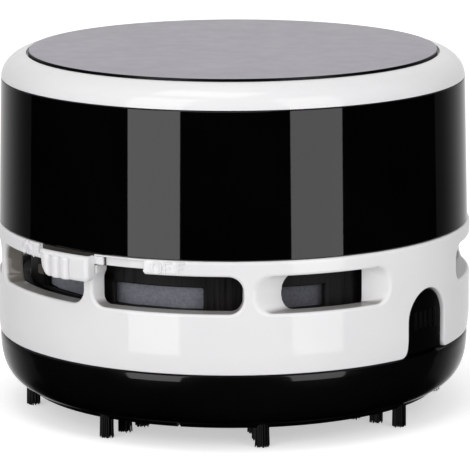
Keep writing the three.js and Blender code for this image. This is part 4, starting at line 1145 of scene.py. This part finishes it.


# Painted shade on the slots' floors: its colour, where it starts under the body's face, and how far inwards
# it reaches
SILL_SHADE = (0.3, 0.291, 0.282)
SILL_START = VENT_RADIUS - 0.15
SILL_REACH = 0.55
# Painted shade on one end wall of the slots on each side: its colour, the wall's angle, how far from the
# wall's plane it reaches and fades, and how deep it goes
END_WALL_SHADE = (0.17, 0.1547, 0.1394)
END_WALL_ANGLE = -72.6
END_WALL_REACH = 3.4
END_WALL_FADE = 1.6
END_WALL_DEPTH = 1.0
# Painted shade on one side of the felt band: its direction, the distances from the axis over which it comes
# in, and the share of colour it keeps
FELT_SHADE_ANGLE = 18
FELT_SHADE_LEVELS = (32.2, 34.4)
FELT_SHADE_SHARE = 0.55


def paint_slot_shade(surface):
    """Paints shade into the floors of the body's slots, which face up inside the recesses, and into one end
    wall of each side.
    """
    height = surface.part(surface.place, "Z")
    flat = surface.add("VectorMath", {0: surface.place, 1: (1, 1, 0)}, "Vector", operation="MULTIPLY")
    reach = surface.add("VectorMath", {0: flat}, "Value", operation="LENGTH")
    upward = surface.step(surface.part(surface.add("NewGeometry", output="Normal"), "Z"), 0.35, 0.9)
    inward = surface.step(reach, SILL_START * MM, (SILL_START - SILL_REACH) * MM)
    low = surface.step(height, (SLOT_TOP - 1) * MM, (SLOT_TOP - 2) * MM)
    # painted shade on the upward floors inside the slots
    surface.tone(surface.product(upward, inward, low), SILL_SHADE)
    aside = surface.calc("ABSOLUTE", surface.towards(END_WALL_ANGLE + 90))
    near = surface.step(aside, END_WALL_REACH * MM, (END_WALL_REACH - END_WALL_FADE) * MM)
    deep = surface.step(reach, (VENT_RADIUS - 0.05) * MM, (VENT_RADIUS - END_WALL_DEPTH) * MM)
    below_deck = surface.step(height, (SLOT_TOP + 0.4) * MM, SLOT_TOP * MM)
    # painted shade on the end wall
    surface.tone(surface.product(near, deep, below_deck), END_WALL_SHADE)


def paint_felt_shade(surface):
    """Darkens the felt band on one side with painted shade, where a slot's recess shades it."""
    share = surface.step(surface.towards(FELT_SHADE_ANGLE), *(level * MM for level in FELT_SHADE_LEVELS))
    surface.tone(share, FELT_SHADE_SHARE, "MULTIPLY")


white_plastic = plastic("white_plastic", (0.81, 0.802, 0.815), (0.85, 0.842, 0.85), 0.05, 1500, 0.000001)
# painted shade on the slots' floors and on one end wall of each side
paint_slot_shade(white_plastic)
gloss_black = plastic("gloss_black_plastic", 0.0006, 0.0012, 0.03, 500, 0.000001, ior=1.54)
satin_black = plastic("satin_black_plastic", 0.0012, 0.0022, 0.3, 3500, ior=1.2, coat=0.85)
disc_grey = plastic("disc_grey_plastic", (0.312, 0.295, 0.341), (0.323, 0.305, 0.352), 0.34, 5000, 0.000008)
disc_side = plastic("disc_side_plastic", 0.001, 0.002, 0.3, 3000, ior=1.3)
inner_black = plastic("inner_black_plastic", 0.001, 0.002, 0.5, ior=1.15)
# dark brownish grey, painted shade for the shadow over the grip and round the tongue
carrier_shade_black = plastic("carrier_shade_plastic", (0.04, 0.035, 0.031), (0.06, 0.052, 0.047), 0.5, ior=1.35)
tab_black = plastic("tab_black_plastic", 0.001, 0.0018, 0.35, 3500, ior=1.16)
bristle = plastic("bristle_nylon", 0.001, 0.003, 0.4, 3000, ior=1.35)
wall_black = streaked("fan_wall_plastic", 0.001, (0.02, 0.0175, 0.017), 0.5, 1.35)
filter_cloth = cloth("filter_cloth", (0.22, 0.227, 0.265), (0.31, 0.318, 0.365))
# painted shade on one side of the felt
paint_felt_shade(filter_cloth)
screen_mesh = cloth("screen_mesh", (0.3, 0.31, 0.33), (0.5, 0.51, 0.53))
steel = metal("steel", (0.42, 0.43, 0.45), (0.6, 0.61, 0.63), 0.28)
bronze = metal("contact_bronze", (0.018, 0.015, 0.011), (0.035, 0.029, 0.021), 0.5)
copper = metal("winding", (0.45, 0.16, 0.06), (0.6, 0.24, 0.1), 0.35)
magnet_grey = plastic("magnet_ferrite", 0.03, 0.06, 0.55, 2500, 0.00003)
seal_rubber = plastic("seal_rubber", 0.012, 0.022, 0.7, 2500, 0.00003)
cap_nylon = plastic("motor_cap_nylon", (0.6, 0.59, 0.57), (0.68, 0.67, 0.65), 0.45, 2000, 0.00002)
cell_sleeve = plastic("cell_sleeve_film", (0.03, 0.04, 0.055), (0.045, 0.056, 0.075), 0.25, 900)
wire_red = plastic("wire_red_pvc", (0.3, 0.012, 0.012), (0.38, 0.02, 0.02), 0.45)
wire_black = plastic("wire_black_pvc", 0.008, 0.014, 0.45)


def dress(obj, *surfaces):
    """Gives the object its materials, and keeps the indices of faces that had none yet."""
    if obj.data.materials:
        obj.data.materials.clear()
    for surface in surfaces:
        obj.data.materials.append(surface.material)


# The inner nodes of each material, by the start of their names, of which the longest one counts
INNER_NODES = {
    inner_black: "chassis intake_plate impeller switch_slider cell_retainer",
    filter_cloth: "exhaust_filter",
    satin_black: "filter_frame",
    screen_mesh: "filter_screen",
    steel: "motor_shaft motor_can fan_screw chassis_screw lid_pivot cell_spring cell_plate bridge_plate",
    cap_nylon: "motor_end_cap",
    copper: "armature",
    magnet_grey: "magnet",
    bronze: "terminal switch_wiper switch_contact",
    cell_sleeve: "cell_",
    wire_red: "battery_wire switch_wire",
    wire_black: "return_wire",
    seal_rubber: "cup_seal",
}
NODE_MATERIALS = {start: surface for surface, starts in INNER_NODES.items() for start in starts.split()}
INNER_BEVEL = 0.1
# Its guard's corners are too close together for a bevel
UNBEVELLED = "intake_plate"


def dress_frame():
    """Refines every node whose name starts with one in the table of inner nodes, with its own body and
    material.
    """
    record = frame["record"]
    bodies = {node: body for body, nodes in record["behaviour"]["bodies"].items() for node in nodes}
    slots = {part["node"]: part["material_slot"] for part in record["subparts"]}
    for name in sorted(slots):
        starts = [start for start in NODE_MATERIALS if name.startswith(start)]
        if starts:
            bevel = 0 if name == UNBEVELLED else INNER_BEVEL
            piece = refined(name, bodies[name], bevel)
            dress(piece, NODE_MATERIALS[max(starts, key=len)])


# Studio

LAMP_AIM = Vector((0, 0, 0.035))
SIDE_SOFTBOX = (0.76, 1.83)
TOP_SOFTBOX = (0.78, 0.64)
WORLD_LEVEL = 0.54
# The white behind the object, as its reflections see it: where it starts, and how it rises to the back
WHITE_FROM = 0.46
WHITE_STEP = 0.05
WHITE_RISE = 0.73
WHITE_CURVE = 2.3
BELOW_LEVEL = (-0.5, -0.3)
FLOOR_HALF = 2000
FLOOR_GREY = 0.86
FLOOR_GLOW = 0.5
CAMERA_HEIGHT_ANGLE = 11.52
CAMERA_DISTANCE = 0.6749
CAMERA_LENS = 285.1
CAMERA_ROLL = -0.19
CAMERA_TARGET = Vector((0, 0, 0.027))
# How far the picture's middle lies from the target
CAMERA_SHIFT = Vector((0.00027, 0, 0.00316))


def direction(azimuth, elevation):
    swing, lift = math.radians(azimuth), math.radians(elevation)
    return Vector((math.sin(swing) * math.cos(lift), -math.cos(swing) * math.cos(lift), math.sin(lift)))


def softbox(name, azimuth, elevation, distance, size, radiance):
    """A soft rectangular lamp that faces the object from a direction."""
    lamp = bpy.data.lights.new(name, "AREA")
    lamp.shape = "RECTANGLE"
    lamp.size, lamp.size_y = size
    lamp.energy = radiance * math.pi * size[0] * size[1]
    holder = add_object(name, lamp)
    back = direction(azimuth, elevation)
    holder.location = LAMP_AIM + back * distance
    holder.rotation_euler = back.to_track_quat("Z", "Y").to_euler()
    holder.visible_camera = False


def build_world():
    """White behind the object, as the camera and its reflections see it, and an even grey light elsewhere."""
    world = bpy.data.worlds.new("studio")
    bpy.context.scene.world = world
    tree = Tree(world)
    view = tree.add("TexCoord", output="Generated")
    x, y, z = (tree.part(view, axis) for axis in "XYZ")
    level = tree.calc("SQRT", tree.calc("ADD", tree.product(x, x), tree.product(y, y)))
    behind = tree.calc("DIVIDE", y, tree.calc("MAXIMUM", level, 0.001))
    rising = tree.calc("POWER", tree.spread(behind, WHITE_FROM, 1), WHITE_CURVE)
    rising = tree.calc("ADD", tree.product(rising, WHITE_RISE), WHITE_STEP)
    shown = tree.calc("GREATER_THAN", behind, WHITE_FROM)
    white = tree.product(rising, shown, tree.spread(z, *BELOW_LEVEL), tree.path("Glossy"))
    for kind in ("Camera", "Transmission"):
        white = tree.calc("MAXIMUM", white, tree.path(kind))
    plain = tree.product(tree.calc("SUBTRACT", 1, tree.path("Glossy")), WORLD_LEVEL)
    background = tree.nodes["Background"]
    tree.put(background.inputs["Strength"], tree.calc("MAXIMUM", white, plain))
    background.inputs["Color"].default_value = (1, 1, 1, 1)


def build_floor():
    """A matt floor that glows a little for the camera, so that it shows white round the shadow."""
    corners = [(x * FLOOR_HALF, y * FLOOR_HALF, 0) for x, y in ((-1, -1), (1, -1), (1, 1), (-1, 1))]
    floor = make_object("floor", corners, [(0, 1, 2, 3)])
    pale = Surface("pale_floor")
    pale.shade({"Base Color": rgba(FLOOR_GREY), "Roughness": 0.9, "Specular IOR Level": 0})
    glow = pale.add("Emission", {"Strength": pale.product(pale.path("Camera"), FLOOR_GLOW)})
    both = pale.add("AddShader", {0: pale.shader.outputs[0], 1: glow})
    pale.put(pale.nodes["Material Output"].inputs["Surface"], both)
    dress(floor, pale)
    floor.visible_glossy = False


def build_camera():
    """The photograph's view: its distance, height and lens, fitted to the round edges of the body."""
    camera = bpy.data.cameras.new("camera")
    holder = add_object("camera", camera)
    camera.lens = CAMERA_LENS
    camera.clip_end = 20
    holder.location = CAMERA_TARGET + CAMERA_DISTANCE * direction(0, CAMERA_HEIGHT_ANGLE)
    view = (holder.location - CAMERA_TARGET - CAMERA_SHIFT).to_track_quat("Z", "Y")
    roll = Matrix.Rotation(math.radians(CAMERA_ROLL), 4, "Z")
    holder.rotation_euler = (view.to_matrix().to_4x4() @ roll).to_euler()
    bpy.context.scene.camera = holder


def build_studio():
    build_world()
    build_floor()
    softbox("softbox_left", -38.5, 16.85, 1.5, SIDE_SOFTBOX, 2.06)
    softbox("softbox_right", 40.5, 16.85, 1.5, SIDE_SOFTBOX, 1.82)
    softbox("softbox_top", -30, 74, 1.4, TOP_SOFTBOX, 2.15)
    build_camera()
    bpy.context.scene.view_settings.view_transform = "Standard"


dress(build_vent_body(), white_plastic)
dress(relief("off_relief", "OFF", -14.9), white_plastic)
dress(relief("on_relief", "ON", -57.5), white_plastic)
dress(build_drum(), gloss_black)
dress(build_cap(), white_plastic)
dress(build_disc(), disc_grey, disc_side)
dress(build_cup(), satin_black)
for latch_side, latch_angle in zip(("right", "left"), LATCH_ANGLES):
    dress(build_tab(latch_side, latch_angle), tab_black)
dress(build_knob(), white_plastic)
# the carrier's dark plate is painted shade over the grip and round the tongue
dress(build_shade_carrier(), carrier_shade_black)
dress(build_track_lip(), white_plastic)
dress(build_fan_housing(), wall_black)
for sector in range(BRUSH_COUNT):
    dress(build_brush(sector + 1, BRUSH_FIRST_ANGLE + sector * 360 / BRUSH_COUNT), bristle)
dress_frame()
build_studio()
